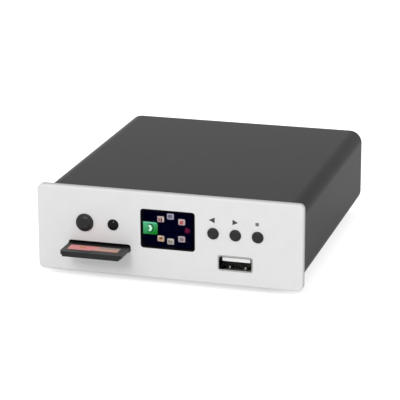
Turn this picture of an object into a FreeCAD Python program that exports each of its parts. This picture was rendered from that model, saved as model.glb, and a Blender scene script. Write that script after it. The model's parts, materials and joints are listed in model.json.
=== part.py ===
import FreeCAD, Part
import math
import operator
import os
import Sketcher

# A compact network music player: a milled aluminium front plate, a folded steel cover
# that slides over a steel tray, and two circuit boards that carry what shows at the
# front and at the rear. Millimetres, X to the right seen from the front, Y to the rear,
# Z up, with the origin on the floor at the middle of the whole outline.

SIZES = {
    # Front plate
    "plate_width": 103.0,
    "plate_height": 33.3,
    "plate_thickness": 3.0,
    "plate_corner": 2.0,
    "plate_bevel": 0.4,
    "plate_drop": 1.4,
    # Cover and tray
    "cover_width": 100.8,
    "cover_height": 30.6,
    "cover_depth": 107.0,
    "cover_corner": 5.0,
    "cover_wall": 1.2,
    "lip_width": 12.0,
    "tray_wall": 1.0,
    "sheet_gap": 0.2,
    "sheet_slot_room": 1.0,
    # Feet
    "foot_height": 4.1,
    "foot_radius": 5.0,
    "foot_taper": 0.8,
    "foot_stud_sunk": 2.8,
    "foot_side_inset": 11.0,
    "foot_end_inset": 14.0,
    # Screws, nuts and spacers
    "screw_radius": 1.25,
    "screw_gap": 0.15,
    "head_flats": 4.5,
    "head_height": 1.4,
    "nut_flats": 5.0,
    "nut_height": 2.2,
    "plate_screw_depth": 2.0,
    "plate_screw_inset": 6.5,
    "plate_screw_margin": 3.4,
    "board_screw_grip": 2.6,
    "standoff_height": 3.6,
    "standoff_flats": 5.0,
    "standoff_side_inset": 3.5,
    "standoff_front": 32.0,
    "standoff_rear": 22.0,
    # Boards
    "board_thickness": 1.6,
    "board_side_gap": 2.2,
    "board_front_gap": 2.5,
    "board_rear_gap": 0.5,
    "front_board_margin": 6.0,
    "front_board_lift": 4.7,
    "front_board_height": 14.8,
    "front_spacer_side": 16.8,
    "front_spacer_lift": 12.2,
    # Row of buttons and the remote-control window
    "button_row": 19.7,
    "power_place": -32.7,
    "power_radius": 3.3,
    "power_proud": 1.2,
    "power_travel": 0.5,
    "button_place": 17.4,
    "button_pitch": 8.5,
    "button_radius": 2.1,
    "button_proud": 0.7,
    "button_travel": 0.3,
    "cap_gap": 0.15,
    "cap_bevel": 0.3,
    "collar_step": 0.7,
    "collar_thickness": 0.7,
    "collar_room": 0.7,
    "switch_side": 6.0,
    "switch_depth": 3.5,
    "plunger_side": 3.0,
    "plunger_proud": 0.8,
    "plunger_held": 0.8,
    "plunger_gap": 0.05,
    "eye_place": -21.5,
    "eye_radius": 2.05,
    "eye_proud": 0.7,
    "eye_bevel": 0.5,
    "eye_flange": 0.6,
    "receiver_width": 5.2,
    "receiver_height": 6.4,
    "receiver_bump": 0.7,
    "receiver_bump_side": 3.8,
    "receiver_bevel": 0.5,
    # Display
    "display_row": 19.6,
    "window_width": 20.8,
    "window_height": 14.9,
    "window_corner": 1.0,
    "window_lip": 1.3,
    "window_recess": 0.1,
    "window_gap": 0.1,
    "window_flange": 0.5,
    "panel_border": 1.3,
    "panel_gap": 0.2,
    "backlight_thickness": 2.0,
    "frame_wall": 1.0,
    "frame_floor": 1.0,
    "ribbon_width": 8.0,
    "ribbon_thickness": 0.2,
    "ribbon_lift": 0.8,
    "ribbon_place": 6.5,
    "ribbon_tail": 3.0,
    "link_width": 10.6,
    "link_depth": 2.5,
    "link_foot_depth": 3.5,
    "link_place": -5.8,
    "link_cover": 2.4,
    # Memory card and its socket
    "card_place": -27.0,
    "card_width": 24.0,
    "card_length": 32.0,
    "card_thickness": 2.1,
    "card_corner": 1.0,
    "card_cut": 4.0,
    "card_rail": 1.4,
    "card_rabbet": 0.9,
    "card_proud": 11.0,
    "card_float": 0.1,
    "slot_height": 3.2,
    "slot_corner": 1.0,
    "slot_side_gap": 0.33,
    "slot_lower_gap": 0.15,
    "socket_floor": 0.5,
    "socket_side_gap": 0.2,
    "socket_wall": 1.3,
    "socket_roof_gap": 0.2,
    "socket_sheet": 0.3,
    "socket_window_width": 4.0,
    "socket_window_length": 5.4,
    "socket_window_spacing": 13.5,
    "contact_slot_length": 8.0,
    "pad_count": 9,
    "pad_pitch": 2.5,
    "pad_width": 1.6,
    "pad_length": 4.0,
    "pad_recess": 0.4,
    "pad_thickness": 0.1,
    "label_inset": 1.8,
    "label_front": 3.0,
    "label_length": 22.0,
    "label_recess": 0.15,
    "label_thickness": 0.1,
    "lock_from_end": 8.0,
    "lock_length": 2.6,
    "lock_width": 0.7,
    "lock_gap": 0.1,
    "lock_travel": 1.8,
    "lock_rib": 0.4,
    "lock_grip_count": 3,
    "lock_grip_width": 0.3,
    # Front data socket
    "usb_width": 13.1,
    "usb_height": 5.7,
    "usb_depth": 14.0,
    "usb_sheet": 0.3,
    "usb_corner": 0.8,
    "usb_recess": 0.1,
    "usb_sink": 0.2,
    "usb_opening_gap": 0.15,
    "tongue_width": 10.6,
    "tongue_thickness": 1.4,
    "tongue_roof": 0.8,
    "tongue_recess": 1.5,
    "tongue_block": 3.6,
    "usb_finger_start": 1.0,
    "usb_finger_width": 1.5,
    "usb_finger_length": 4.5,
    "usb_finger_spacing": 6.0,
    "usb_finger_bend": 1.1,
    "usb_finger_rise": 0.5,
    "usb_roof_finger_rise": 0.25,
    "usb_contact_count": 4,
    "usb_contact_pitch": 2.2,
    "usb_contact_start": 2.0,
    "usb_contact_width": 1.0,
    "usb_contact_thickness": 0.2,
    # Round sound sockets
    "rca_proud": 9.0,
    "rca_rise": 8.5,
    "rca_radius": 4.15,
    "rca_sheet": 0.6,
    "rca_collar": 0.9,
    "rca_collar_thickness": 0.6,
    "rca_hole_gap": 0.1,
    "rca_block_width": 10.0,
    "rca_block_depth": 10.0,
    "rca_block_height": 13.6,
    "rca_face_recess": 0.6,
    "rca_bore_radius": 1.65,
    "rca_contact_wall": 0.5,
    "rca_contact_recess": 1.2,
    "rca_contact_depth": 5.0,
    "rca_side_inset": 6.0,
    "rca_pitch": 14.0,
    "rca_digital_pitch": 16.0,
    # Network socket
    "ethernet_place": -10.0,
    "ethernet_width": 15.8,
    "ethernet_height": 13.4,
    "ethernet_depth": 18.0,
    "ethernet_proud": 0.6,
    "ethernet_sheet": 0.3,
    "ethernet_gap": 0.2,
    "mouth_width": 11.8,
    "mouth_height": 6.7,
    "mouth_depth": 13.0,
    "mouth_roof": 2.6,
    "latch_width": 6.2,
    "latch_height": 1.5,
    "key_width": 3.4,
    "key_height": 1.3,
    "wire_count": 8,
    "wire_pitch": 1.02,
    "wire_width": 0.45,
    "wire_drop": 2.2,
    "wire_reach": 7.8,
    # Supply socket
    "supply_side_inset": 11.0,
    "supply_width": 9.0,
    "supply_height": 11.0,
    "supply_depth": 12.0,
    "supply_rise": 6.5,
    "supply_nose_radius": 4.0,
    "supply_proud": 0.6,
    "supply_bore_radius": 3.2,
    "supply_bore_depth": 9.5,
    "supply_pin_radius": 1.0,
    "supply_pin_recess": 1.0,
    "supply_pin_bevel": 0.4,
    # Parts on the main board
    "chip_bevel": 0.4,
    "processor_side": 14.0,
    "processor_thickness": 1.6,
    "processor_place": 14.0,
    "processor_back": 40.0,
    "converter_width": 10.0,
    "converter_length": 7.6,
    "converter_thickness": 2.0,
    "converter_place": 27.0,
    "converter_back": 68.0,
    "capacitor_count": 2,
    "capacitor_radius": 4.0,
    "capacitor_height": 9.0,
    "capacitor_base_side": 8.4,
    "capacitor_base_height": 1.2,
    "capacitor_base_cut": 1.6,
    "capacitor_pitch": 11.0,
    "capacitor_place": -36.0,
    "capacitor_back": 58.0,
}

UP = REARWARD = RIGHTWARD = 1
DOWN = FORWARD = -1
FLAT, UPRIGHT, SIDEWAYS = "XY_Plane", "XZ_Plane", "YZ_Plane"
PLANE_SENSE = {FLAT: 1, UPRIGHT: -1, SIDEWAYS: 1}
TINY = 1e-6
EDGE_TOLERANCE = 1e-4


class Length:
    """A length in millimetres, kept with the formula that works it out from the sheet."""

    def __init__(self, value, formula):
        self.value = value
        self.formula = formula

    def joined(self, sign, work, other, swapped=False):
        first, second = (as_length(other), self) if swapped else (self, as_length(other))
        return Length(work(first.value, second.value), f"({first.formula} {sign} {second.formula})")

    def __add__(self, other):
        return self.joined("+", operator.add, other)

    def __radd__(self, other):
        return self.joined("+", operator.add, other, swapped=True)

    def __sub__(self, other):
        return self.joined("-", operator.sub, other)

    def __rsub__(self, other):
        return self.joined("-", operator.sub, other, swapped=True)

    def __mul__(self, other):
        return self.joined("*", operator.mul, other)

    def __rmul__(self, other):
        return self.joined("*", operator.mul, other, swapped=True)

    def __truediv__(self, other):
        return self.joined("/", operator.truediv, other)

    def __neg__(self):
        return self.joined("*", operator.mul, -1)


def as_length(item):
    """Give a plain number the same form as the lengths that come from the sheet."""
    return item if isinstance(item, Length) else Length(float(item), f"({float(item)!r})")


class SizeSheet:
    """The sheet of driving dimensions: each of its names is a Length of the same name."""

    def __init__(self, document):
        self.cells = document.addObject("Spreadsheet::Sheet", "sizes")
        for row, (name, value) in enumerate(SIZES.items(), start=1):
            self.cells.set(f"A{row}", repr(value))
            self.cells.setAlias(f"A{row}", name)
        document.recompute()

    def __getattr__(self, name):
        return Length(float(self.cells.get(name)), f"sizes.{name}")

    def count(self, name):
        return int(self.cells.get(name))


model = FreeCAD.newDocument("music_streamer")
size = SizeSheet(model)
nodes = []


# Drawing helpers

def bind(item, path, length):
    """Drive a property by the length's formula."""
    item.setExpression(path, as_length(length).formula)


def place(item, x=0, y=0, z=0):
    for axis, length in zip("xyz", (x, y, z)):
        bind(item, f"Placement.Base.{axis}", length)


def keep(item, name):
    """Name a finished sub-part and put it on the list of those that are written."""
    item.Label = name
    nodes.append(item)
    return item


def new_body(name, x=0, y=0, z=0):
    body = model.addObject("PartDesign::Body", name)
    place(body, x, y, z)
    return body


def new_sketch(body, plane, offset=0):
    """A sketch on one of the body's own planes, moved by offset along the axis square to it."""
    sketch = body.newObject("Sketcher::SketchObject", f"{body.Name}_sketch")
    origin_plane = next(item for item in body.Origin.OriginFeatures if item.Role == plane)
    sketch.AttachmentSupport = [(origin_plane, "")]
    sketch.MapMode = "FlatFace"
    bind(sketch, "AttachmentOffset.Base.z", as_length(offset) * PLANE_SENSE[plane])
    return sketch


def constrain(sketch, kind, references, length):
    """Add a constraint whose value follows the length's formula."""
    length = as_length(length)
    index = sketch.addConstraint(Sketcher.Constraint(kind, *references, length.value))
    bind(sketch, f"Constraints[{index}]", length)


def pin(sketch, geometry, vertex, point):
    """Hold a vertex of the geometry at its two distances from the sketch's origin."""
    constrain(sketch, "DistanceX", (-1, 1, geometry, vertex), point[0])
    constrain(sketch, "DistanceY", (-1, 1, geometry, vertex), point[1])


def flat_vector(point):
    return FreeCAD.Vector(as_length(point[0]).value, as_length(point[1]).value, 0)


def add_outline(sketch, points):
    """Draw a closed outline of straight sides through the points."""
    first = sketch.GeometryCount
    following = points[1:] + points[:1]
    for start, end in zip(points, following):
        sketch.addGeometry(Part.LineSegment(flat_vector(start), flat_vector(end)))
    for index, point in enumerate(points):
        line = first + index
        next_line = first + (index + 1) % len(points)
        sketch.addConstraint(Sketcher.Constraint("Coincident", line, 2, next_line, 1))
        pin(sketch, line, 1, point)


def add_rectangle(sketch, centre, width, height):
    x, y = as_length(centre[0]), as_length(centre[1])
    left, right = x - width / 2, x + width / 2
    low, high = y - height / 2, y + height / 2
    add_outline(sketch, [(left, low), (right, low), (right, high), (left, high)])


def add_hexagon(sketch, centre, flats):
    """Draw a hexagon whose level sides are flats apart."""
    reach = flats / math.sqrt(3)
    turns = [math.radians(60 * corner) for corner in range(6)]
    add_outline(sketch, [(centre[0] + reach * math.cos(turn), centre[1] + reach * math.sin(turn))
                         for turn in turns])


def add_circle(sketch, centre, radius):
    circle = Part.Circle(flat_vector(centre), FreeCAD.Vector(0, 0, 1), as_length(radius).value)
    index = sketch.addGeometry(circle)
    pin(sketch, index, 3, centre)
    constrain(sketch, "Radius", (index,), radius)


def add_rounded_rectangle(sketch, centre, width, height, corner):
    """Draw a rectangle with four round corners, anticlockwise from its lower left corner."""
    x, y = as_length(centre[0]), as_length(centre[1])
    reach_x = width / 2 - corner
    reach_y = height / 2 - corner
    hubs = [(x - reach_x, y - reach_y), (x + reach_x, y - reach_y),
            (x + reach_x, y + reach_y), (x - reach_x, y + reach_y)]
    first = sketch.GeometryCount
    for quarter, hub in enumerate(hubs):
        start = math.pi + quarter * math.pi / 2
        circle = Part.Circle(flat_vector(hub), FreeCAD.Vector(0, 0, 1), corner.value)
        sketch.addGeometry(Part.ArcOfCircle(circle, start, start + math.pi / 2))
    for quarter in range(4):
        arc_end = sketch.Geometry[first + quarter].EndPoint
        next_start = sketch.Geometry[first + (quarter + 1) % 4].StartPoint
        sketch.addGeometry(Part.LineSegment(arc_end, next_start))
    for quarter, hub in enumerate(hubs):
        arc = first + quarter
        side = first + 4 + quarter
        next_arc = first + (quarter + 1) % 4
        pin(sketch, arc, 3, hub)
        constrain(sketch, "Radius", (arc,), corner)
        sketch.addConstraint(Sketcher.Constraint("Tangent", arc, 2, side, 1))
        sketch.addConstraint(Sketcher.Constraint("Tangent", side, 2, next_arc, 1))


def add_feature(body, kind, sketch, length, towards, plane_normal_sense):
    feature = body.newObject(f"PartDesign::{kind}", f"{body.Name}_{kind.lower()}")
    feature.Profile = sketch
    feature.Reversed = towards != plane_normal_sense
    bind(feature, "Length", length)
    return feature


def plane_sense(sketch):
    return PLANE_SENSE[sketch.AttachmentSupport[0][0].Role]


def pad(body, sketch, length, towards):
    """Grow the sketch by length, towards the positive or the negative axis square to it."""
    feature = add_feature(body, "Pad", sketch, length, towards, plane_sense(sketch))
    model.recompute()
    return feature


def pocket(body, sketch, length, towards):
    """Cut the sketch into the body, and make sure that the cut has taken something away."""
    model.recompute()
    volume = body.Shape.Volume
    feature = add_feature(body, "Pocket", sketch, length, towards, -plane_sense(sketch))
    model.recompute()
    if body.Shape.Volume > volume - TINY:
        raise ValueError(f"{feature.Name} cuts nothing from {body.Name}")
    return feature


def revolve(body, plane, outline):
    """Turn an outline of (radius, height) points round the plane's upright axis."""
    sketch = new_sketch(body, plane)
    add_outline(sketch, outline)
    feature = body.newObject("PartDesign::Revolution", f"{body.Name}_turned")
    feature.Profile = sketch
    feature.ReferenceAxis = (sketch, ["V_Axis"])
    feature.Angle = 360
    model.recompute()
    return feature


def edges_of(body, wanted):
    """Name the edges of the body's present shape for which wanted(edge) holds."""
    model.recompute()
    edges = body.Tip.Shape.Edges
    return [f"Edge{index}" for index, edge in enumerate(edges, start=1) if wanted(edge)]


def dress(body, kind, wanted, amount):
    """Fillet or chamfer the edges for which wanted(edge) holds."""
    base = body.Tip
    names = edges_of(body, wanted)
    if not names:
        raise ValueError(f"{body.Name} has no edge for its {kind.lower()}")
    feature = body.newObject(f"PartDesign::{kind}", f"{body.Name}_{kind.lower()}")
    feature.Base = (base, names)
    bind(feature, "Radius" if kind == "Fillet" else "Size", amount)
    model.recompute()
    return feature


def repeat(body, feature, sketch, axis, spacing, count):
    """Repeat a feature along the sketch's axis."""
    pattern = body.newObject("PartDesign::LinearPattern", f"{body.Name}_row")
    pattern.Originals = [feature]
    pattern.Direction = (sketch, [axis])
    bind(pattern, "Length", spacing * (count - 1))
    pattern.Occurrences = count
    body.Tip = pattern
    model.recompute()
    return pattern


def at(length, axis):
    """A test for edges that lie wholly in the plane where axis has the given value."""
    value = as_length(length).value

    def lies_there(edge):
        low, high = getattr(edge.BoundBox, f"{axis}Min"), getattr(edge.BoundBox, f"{axis}Max")
        return abs(low - value) < EDGE_TOLERANCE and abs(high - value) < EDGE_TOLERANCE
    return lies_there


def block(name, low_corner, lengths, turn=0):
    """A plain block from its low corner, turned about the X axis through that corner."""
    item = model.addObject("Part::Box", name)
    for path, length in zip(("Length", "Width", "Height"), lengths):
        bind(item, path, length)
    item.Placement = FreeCAD.Placement(FreeCAD.Vector(), FreeCAD.Rotation(FreeCAD.Vector(1, 0, 0), turn))
    place(item, *low_corner)
    return item


def rod(name, radius, length, x, y, z):
    """A plain upright rod that starts at (x, y, z)."""
    item = model.addObject("Part::Cylinder", name)
    bind(item, "Radius", radius)
    bind(item, "Height", length)
    place(item, x, y, z)
    return item


def group(name, members):
    """Several separate solids of one kind under one name."""
    item = model.addObject("Part::Compound", name)
    item.Links = members
    return keep(item, name)


# Places that several sub-parts share

overall_depth = size.card_proud + size.plate_thickness + size.cover_depth + size.rca_proud
face = size.card_proud - overall_depth / 2
plate_back = face + size.plate_thickness
panel_face = plate_back + size.cover_depth
sheet_back = plate_back + size.tray_wall

plate_base = size.foot_height - size.plate_drop
tray_base = size.foot_height + size.cover_wall
tray_top = tray_base + size.tray_wall
sheet_width = size.cover_width - size.cover_wall * 2 - size.sheet_gap * 2
sheet_height = size.cover_height - size.cover_wall * 2 - size.sheet_gap
sheet_corner = size.cover_corner - size.cover_wall
board_half = size.cover_width / 2 - size.cover_wall - size.board_side_gap
board_base = tray_top + size.standoff_height
board_top = board_base + size.board_thickness
board_front = sheet_back + size.board_front_gap
board_length = panel_face - size.tray_wall - size.board_rear_gap - board_front
foot_side = size.cover_width / 2 - size.foot_side_inset
standoff_side = board_half - size.standoff_side_inset

button_height = plate_base + size.button_row
display_height = plate_base + size.display_row
switch_front = plate_back + size.collar_thickness + size.plunger_proud
front_board_front = switch_front + size.switch_depth
front_board_back = front_board_front + size.board_thickness
front_board_base = board_top + size.front_board_lift
front_spacer_height = front_board_base + size.front_spacer_lift
last_button = size.button_place + size.button_pitch * 2

card_base = board_top + size.socket_floor + size.card_float
card_front = face - size.card_proud
card_end = card_front + size.card_length
socket_top = card_base + size.card_thickness + size.socket_roof_gap
socket_width = size.card_width + size.socket_side_gap * 2 + size.socket_wall * 2
slot_base = card_base - size.slot_lower_gap
slot_width = size.card_width + size.slot_side_gap * 2
slot_middle = slot_base + size.slot_height / 2

usb_place = size.button_place + size.button_pitch
usb_height = board_top - size.usb_sink
usb_front = face + size.usb_recess
usb_opening_width = size.usb_width + size.usb_opening_gap * 2
usb_opening_height = size.usb_height + size.usb_opening_gap * 2
usb_opening_corner = size.usb_corner + size.usb_opening_gap

panel_width = size.window_width + size.panel_border * 2
panel_height = size.window_height + size.panel_border * 2
frame_width = panel_width + size.frame_wall * 2
frame_height = panel_height + size.frame_wall * 2
panel_front = face + size.window_lip + size.window_flange
panel_depth = size.plate_thickness - size.window_lip - size.window_flange

screw_hole = size.screw_radius + size.screw_gap
plate_screw_side = sheet_width / 2 - size.plate_screw_inset
plate_screw_low = tray_top + size.plate_screw_margin
plate_screw_high = tray_base + sheet_height - size.plate_screw_margin

rca_height = board_top + size.rca_rise
rca_nose_radius = size.rca_radius - size.rca_sheet
supply_height = board_top + size.supply_rise
supply_place = size.supply_side_inset - board_half
rca_right = board_half - size.rca_side_inset
rca_left = rca_right - size.rca_pitch
rca_places = {
    "left": rca_left,
    "right": rca_right,
    "digital": rca_left - size.rca_digital_pitch,
}
button_places = {
    "back": as_length(size.button_place),
    "play": size.button_place + size.button_pitch,
    "stop": last_button,
}


def plate_screw_points(base):
    """The four places of the front plate's screws, seen from the front, above base."""
    return [(side * plate_screw_side, height - base)
            for side in (-1, 1) for height in (plate_screw_low, plate_screw_high)]


def foot_points(front):
    """The four places of the feet, seen from above, behind front."""
    first = plate_back + size.foot_end_inset - front
    last = panel_face - size.foot_end_inset - front
    return {
        "front_left": (-foot_side, first),
        "front_right": (foot_side, first),
        "rear_left": (-foot_side, last),
        "rear_right": (foot_side, last),
    }


def standoff_points(front):
    """The four places of the spacers under the main board, behind front."""
    first = plate_back + size.standoff_front - front
    last = panel_face - size.standoff_rear - front
    return [(side * standoff_side, y) for side in (-1, 1) for y in (first, last)]


# Case

def make_front_plate():
    """Milled plate with a bevelled rim: every opening of the front goes through it."""
    plate = new_body("front_plate", y=face, z=plate_base)
    outline = new_sketch(plate, UPRIGHT)
    add_rounded_rectangle(outline, (0, size.plate_height / 2), size.plate_width,
                          size.plate_height, size.plate_corner)
    pad(plate, outline, size.plate_thickness, REARWARD)
    dress(plate, "Chamfer", at(0, "Y"), size.plate_bevel)

    openings = new_sketch(plate, UPRIGHT)
    add_circle(openings, (size.power_place, size.button_row), size.power_radius + size.cap_gap)
    add_circle(openings, (size.eye_place, size.button_row), size.eye_radius + size.cap_gap)
    for x in button_places.values():
        add_circle(openings, (x, size.button_row), size.button_radius + size.cap_gap)
    add_rounded_rectangle(openings, (0, size.display_row), size.window_width,
                          size.window_height, size.window_corner)
    add_rounded_rectangle(openings, (size.card_place, slot_middle - plate_base), slot_width,
                          size.slot_height, size.slot_corner)
    add_rounded_rectangle(openings, (usb_place, usb_height - plate_base), usb_opening_width,
                          usb_opening_height, usb_opening_corner)
    pocket(plate, openings, size.plate_thickness, REARWARD)

    rebate = new_sketch(plate, UPRIGHT, size.plate_thickness)
    add_rectangle(rebate, (0, size.display_row), panel_width + size.panel_gap * 2,
                  panel_height + size.panel_gap * 2)
    pocket(plate, rebate, size.plate_thickness - size.window_lip, FORWARD)

    screw_holes = new_sketch(plate, UPRIGHT, size.plate_thickness)
    for point in plate_screw_points(plate_base):
        add_circle(screw_holes, point, screw_hole)
    pocket(plate, screw_holes, size.plate_screw_depth + size.screw_gap, FORWARD)
    keep(plate, "front_plate")


def make_cover():
    """Folded sheet sleeve, open at both ends, with a lip along each side of its underside."""
    cover = new_body("cover", y=plate_back, z=size.foot_height)
    inner_width = size.cover_width - size.cover_wall * 2
    inner_height = size.cover_height - size.cover_wall * 2
    middle = (0, size.cover_height / 2)
    outer = new_sketch(cover, UPRIGHT)
    add_rounded_rectangle(outer, middle, size.cover_width, size.cover_height, size.cover_corner)
    pad(cover, outer, size.cover_depth, REARWARD)
    inner = new_sketch(cover, UPRIGHT)
    add_rounded_rectangle(inner, middle, inner_width, inner_height, sheet_corner)
    pocket(cover, inner, size.cover_depth, REARWARD)
    underside = new_sketch(cover, UPRIGHT)
    gap_between_lips = size.cover_width - (size.cover_corner + size.lip_width) * 2
    add_rectangle(underside, (0, size.cover_wall / 2), gap_between_lips, size.cover_wall * 2)
    pocket(cover, underside, size.cover_depth, REARWARD)
    screw_holes = new_sketch(cover, FLAT)
    for point in foot_points(plate_back).values():
        add_circle(screw_holes, point, screw_hole)
    pocket(cover, screw_holes, size.cover_wall, UP)
    keep(cover, "cover")


def make_base_tray():
    """Sheet on the cover's lips, welded to the front sheet and to the rear panel."""
    tray = new_body("base_tray", y=sheet_back, z=tray_base)
    floor_width = size.cover_width - size.cover_corner * 2 - size.sheet_gap * 2
    floor_length = size.cover_depth - size.tray_wall * 2
    floor = new_sketch(tray, FLAT)
    add_rectangle(floor, (0, floor_length / 2), floor_width, floor_length)
    pad(tray, floor, size.tray_wall, UP)
    foot_screw_holes = new_sketch(tray, FLAT)
    for point in foot_points(sheet_back).values():
        add_circle(foot_screw_holes, point, screw_hole)
    pocket(tray, foot_screw_holes, size.tray_wall, UP)
    keep(tray, "base_tray")


def make_upright_sheet(name, y):
    """Sheet that fills the end of the cover, still without its openings."""
    sheet = new_body(name, y=y, z=tray_base)
    outline = new_sketch(sheet, UPRIGHT)
    add_rounded_rectangle(outline, (0, sheet_height / 2), sheet_width, sheet_height, sheet_corner)
    pad(sheet, outline, size.tray_wall, REARWARD)
    return sheet


def make_front_sheet():
    """Sheet behind the front plate, open where buttons, display and sockets come through."""
    sheet = make_upright_sheet("front_sheet", plate_back)
    front_openings = new_sketch(sheet, UPRIGHT)
    row = button_height - tray_base
    room = (size.collar_step + size.collar_room) * 2
    button_window = size.button_radius * 2 + room
    add_rectangle(front_openings, (size.power_place, row), size.power_radius * 2 + room,
                  size.power_radius * 2 + room)
    add_rectangle(front_openings, (size.eye_place, row), size.eye_radius * 2 + room,
                  size.eye_radius * 2 + room)
    add_rectangle(front_openings, (button_places["play"], row),
                  button_window + size.button_pitch * 2, button_window)
    add_rectangle(front_openings, (0, display_height - tray_base), frame_width + size.panel_gap * 2,
                  frame_height + size.panel_gap * 2)
    add_rectangle(front_openings, (size.card_place, slot_middle - tray_base),
                  slot_width + size.sheet_slot_room * 2, size.slot_height + size.sheet_slot_room * 2)
    add_rounded_rectangle(front_openings, (usb_place, usb_height - tray_base), usb_opening_width,
                          usb_opening_height, usb_opening_corner)
    for point in plate_screw_points(tray_base):
        add_circle(front_openings, point, screw_hole)
    pocket(sheet, front_openings, size.tray_wall, REARWARD)
    keep(sheet, "front_sheet")


def make_rear_panel():
    """Sheet at the rear, open for the noses of the sockets."""
    panel = make_upright_sheet("rear_panel", panel_face - size.tray_wall)
    rear_openings = new_sketch(panel, UPRIGHT)
    for x in rca_places.values():
        add_circle(rear_openings, (x, rca_height - tray_base), rca_nose_radius + size.rca_hole_gap)
    add_circle(rear_openings, (supply_place, supply_height - tray_base),
               size.supply_nose_radius + size.rca_hole_gap)
    add_rectangle(rear_openings,
                  (size.ethernet_place, board_top + size.ethernet_height / 2 - tray_base),
                  size.ethernet_width + size.ethernet_gap * 2,
                  size.ethernet_height + size.ethernet_gap * 2)
    pocket(panel, rear_openings, size.tray_wall, REARWARD)
    keep(panel, "rear_panel")


def make_foot(name, point):
    """Tapered rubber foot, moulded round the lower end of a headless screw."""
    foot = new_body(name, *point)
    base_radius = size.foot_radius - size.foot_taper
    floor = size.foot_height - size.foot_stud_sunk
    revolve(foot, UPRIGHT, [
        (0, 0), (base_radius, 0), (size.foot_radius, size.foot_height),
        (size.screw_radius, size.foot_height), (size.screw_radius, floor), (0, floor)])
    keep(foot, name)


def make_screw(name, grip, turn, x, y, z):
    """Hexagon-head screw: the head bears on (x, y, z), the shank points where turn sends +Z."""
    screw = new_body(name)
    screw.Placement = FreeCAD.Placement(FreeCAD.Vector(), FreeCAD.Rotation(FreeCAD.Vector(1, 0, 0), turn))
    place(screw, x, y, z)
    head = new_sketch(screw, FLAT)
    add_hexagon(head, (0, 0), size.head_flats)
    pad(screw, head, size.head_height, DOWN)
    shank = new_sketch(screw, FLAT)
    add_circle(shank, (0, 0), size.screw_radius)
    pad(screw, shank, grip, UP)
    return screw


def make_spacer(name, plane, flats, length, x, y, z):
    """Hexagonal piece with a bore, that runs up or rearward from (x, y, z)."""
    spacer = new_body(name, x, y, z)
    hexagon = new_sketch(spacer, plane)
    add_hexagon(hexagon, (0, 0), flats)
    add_circle(hexagon, (0, 0), screw_hole)
    pad(spacer, hexagon, length, UP if plane == FLAT else REARWARD)
    return spacer


SHANK_FORWARD, SHANK_DOWN = 90, 180


def make_case_screws():
    """Headless screws out of the feet, with the nuts that draw cover and tray together."""
    start = size.foot_height - size.foot_stud_sunk
    foot_grip = size.foot_stud_sunk + size.cover_wall + size.tray_wall + size.nut_height
    fasteners = []
    for corner, (x, y) in foot_points(0).items():
        fasteners.append(rod(f"foot_screw_{corner}", size.screw_radius, foot_grip, x, y, start))
        fasteners.append(make_spacer(f"foot_nut_{corner}", FLAT, size.nut_flats, size.nut_height,
                                     x, y, tray_top))
    group("foot_screws", fasteners)
    plate_grip = size.tray_wall + size.plate_screw_depth
    group("front_plate_screws", [
        make_screw(f"plate_screw_{index}", plate_grip, SHANK_FORWARD, x, sheet_back, z)
        for index, (x, z) in enumerate(plate_screw_points(0))])


def make_board_supports():
    """Hexagonal spacers under and in front of the boards, and the screws that hold both."""
    spacers = [make_spacer(f"spacer_{index}", FLAT, size.standoff_flats, size.standoff_height,
                           x, y, tray_top)
               for index, (x, y) in enumerate(standoff_points(0))]
    spacers += [make_spacer(f"front_spacer_{side + 1}", UPRIGHT, size.standoff_flats,
                            front_board_front - sheet_back, side * size.front_spacer_side,
                            sheet_back, front_spacer_height)
                for side in (-1, 1)]
    group("board_standoffs", spacers)

    grip = size.board_thickness + size.board_screw_grip
    screws = [make_screw(f"board_screw_{index}", grip, SHANK_DOWN, x, y, board_top)
              for index, (x, y) in enumerate(standoff_points(0))]
    screws += [make_screw(f"front_board_screw_{side + 1}", grip, SHANK_FORWARD,
                          side * size.front_spacer_side, front_board_back, front_spacer_height)
               for side in (-1, 1)]
    group("board_screws", screws)


# Boards

def make_main_board():
    """Board on the spacers, notched at its front edge for the sunk data socket."""
    board = new_body("main_board", y=board_front, z=board_base)
    notch_half = size.usb_width / 2 + size.usb_opening_gap
    notch_depth = usb_front + size.usb_depth + size.usb_opening_gap - board_front
    outline = new_sketch(board, FLAT)
    add_outline(outline, [
        (-board_half, 0), (usb_place - notch_half, 0), (usb_place - notch_half, notch_depth),
        (usb_place + notch_half, notch_depth), (usb_place + notch_half, 0), (board_half, 0),
        (board_half, board_length), (-board_half, board_length)])
    for point in standoff_points(board_front):
        add_circle(outline, point, screw_hole)
    pad(board, outline, size.board_thickness, UP)
    keep(board, "main_board")


def make_front_board():
    """Upright board behind the buttons, held by two spacers on the front sheet."""
    board = new_body("front_board", y=front_board_front, z=front_board_base)
    left = size.power_place - size.front_board_margin
    right = last_button + size.front_board_margin
    outline = new_sketch(board, UPRIGHT)
    add_outline(outline, [(left, 0), (right, 0), (right, size.front_board_height),
                          (left, size.front_board_height)])
    for side in (-1, 1):
        add_circle(outline, (side * size.front_spacer_side, size.front_spacer_lift), screw_hole)
    pad(board, outline, size.board_thickness, REARWARD)
    keep(board, "front_board")


def make_board_link():
    """Stacked connector that joins the two boards at a right angle."""
    link = new_body("board_link", size.link_place, front_board_back, board_top)
    profile = new_sketch(link, SIDEWAYS, -size.link_width / 2)
    shoulder = size.front_board_lift
    top = shoulder + size.link_cover
    add_outline(profile, [(0, 0), (size.link_foot_depth, 0), (size.link_foot_depth, shoulder),
                          (size.link_depth, shoulder), (size.link_depth, top), (0, top)])
    pad(link, profile, size.link_width, RIGHTWARD)
    keep(link, "board_link")


# Display

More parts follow.
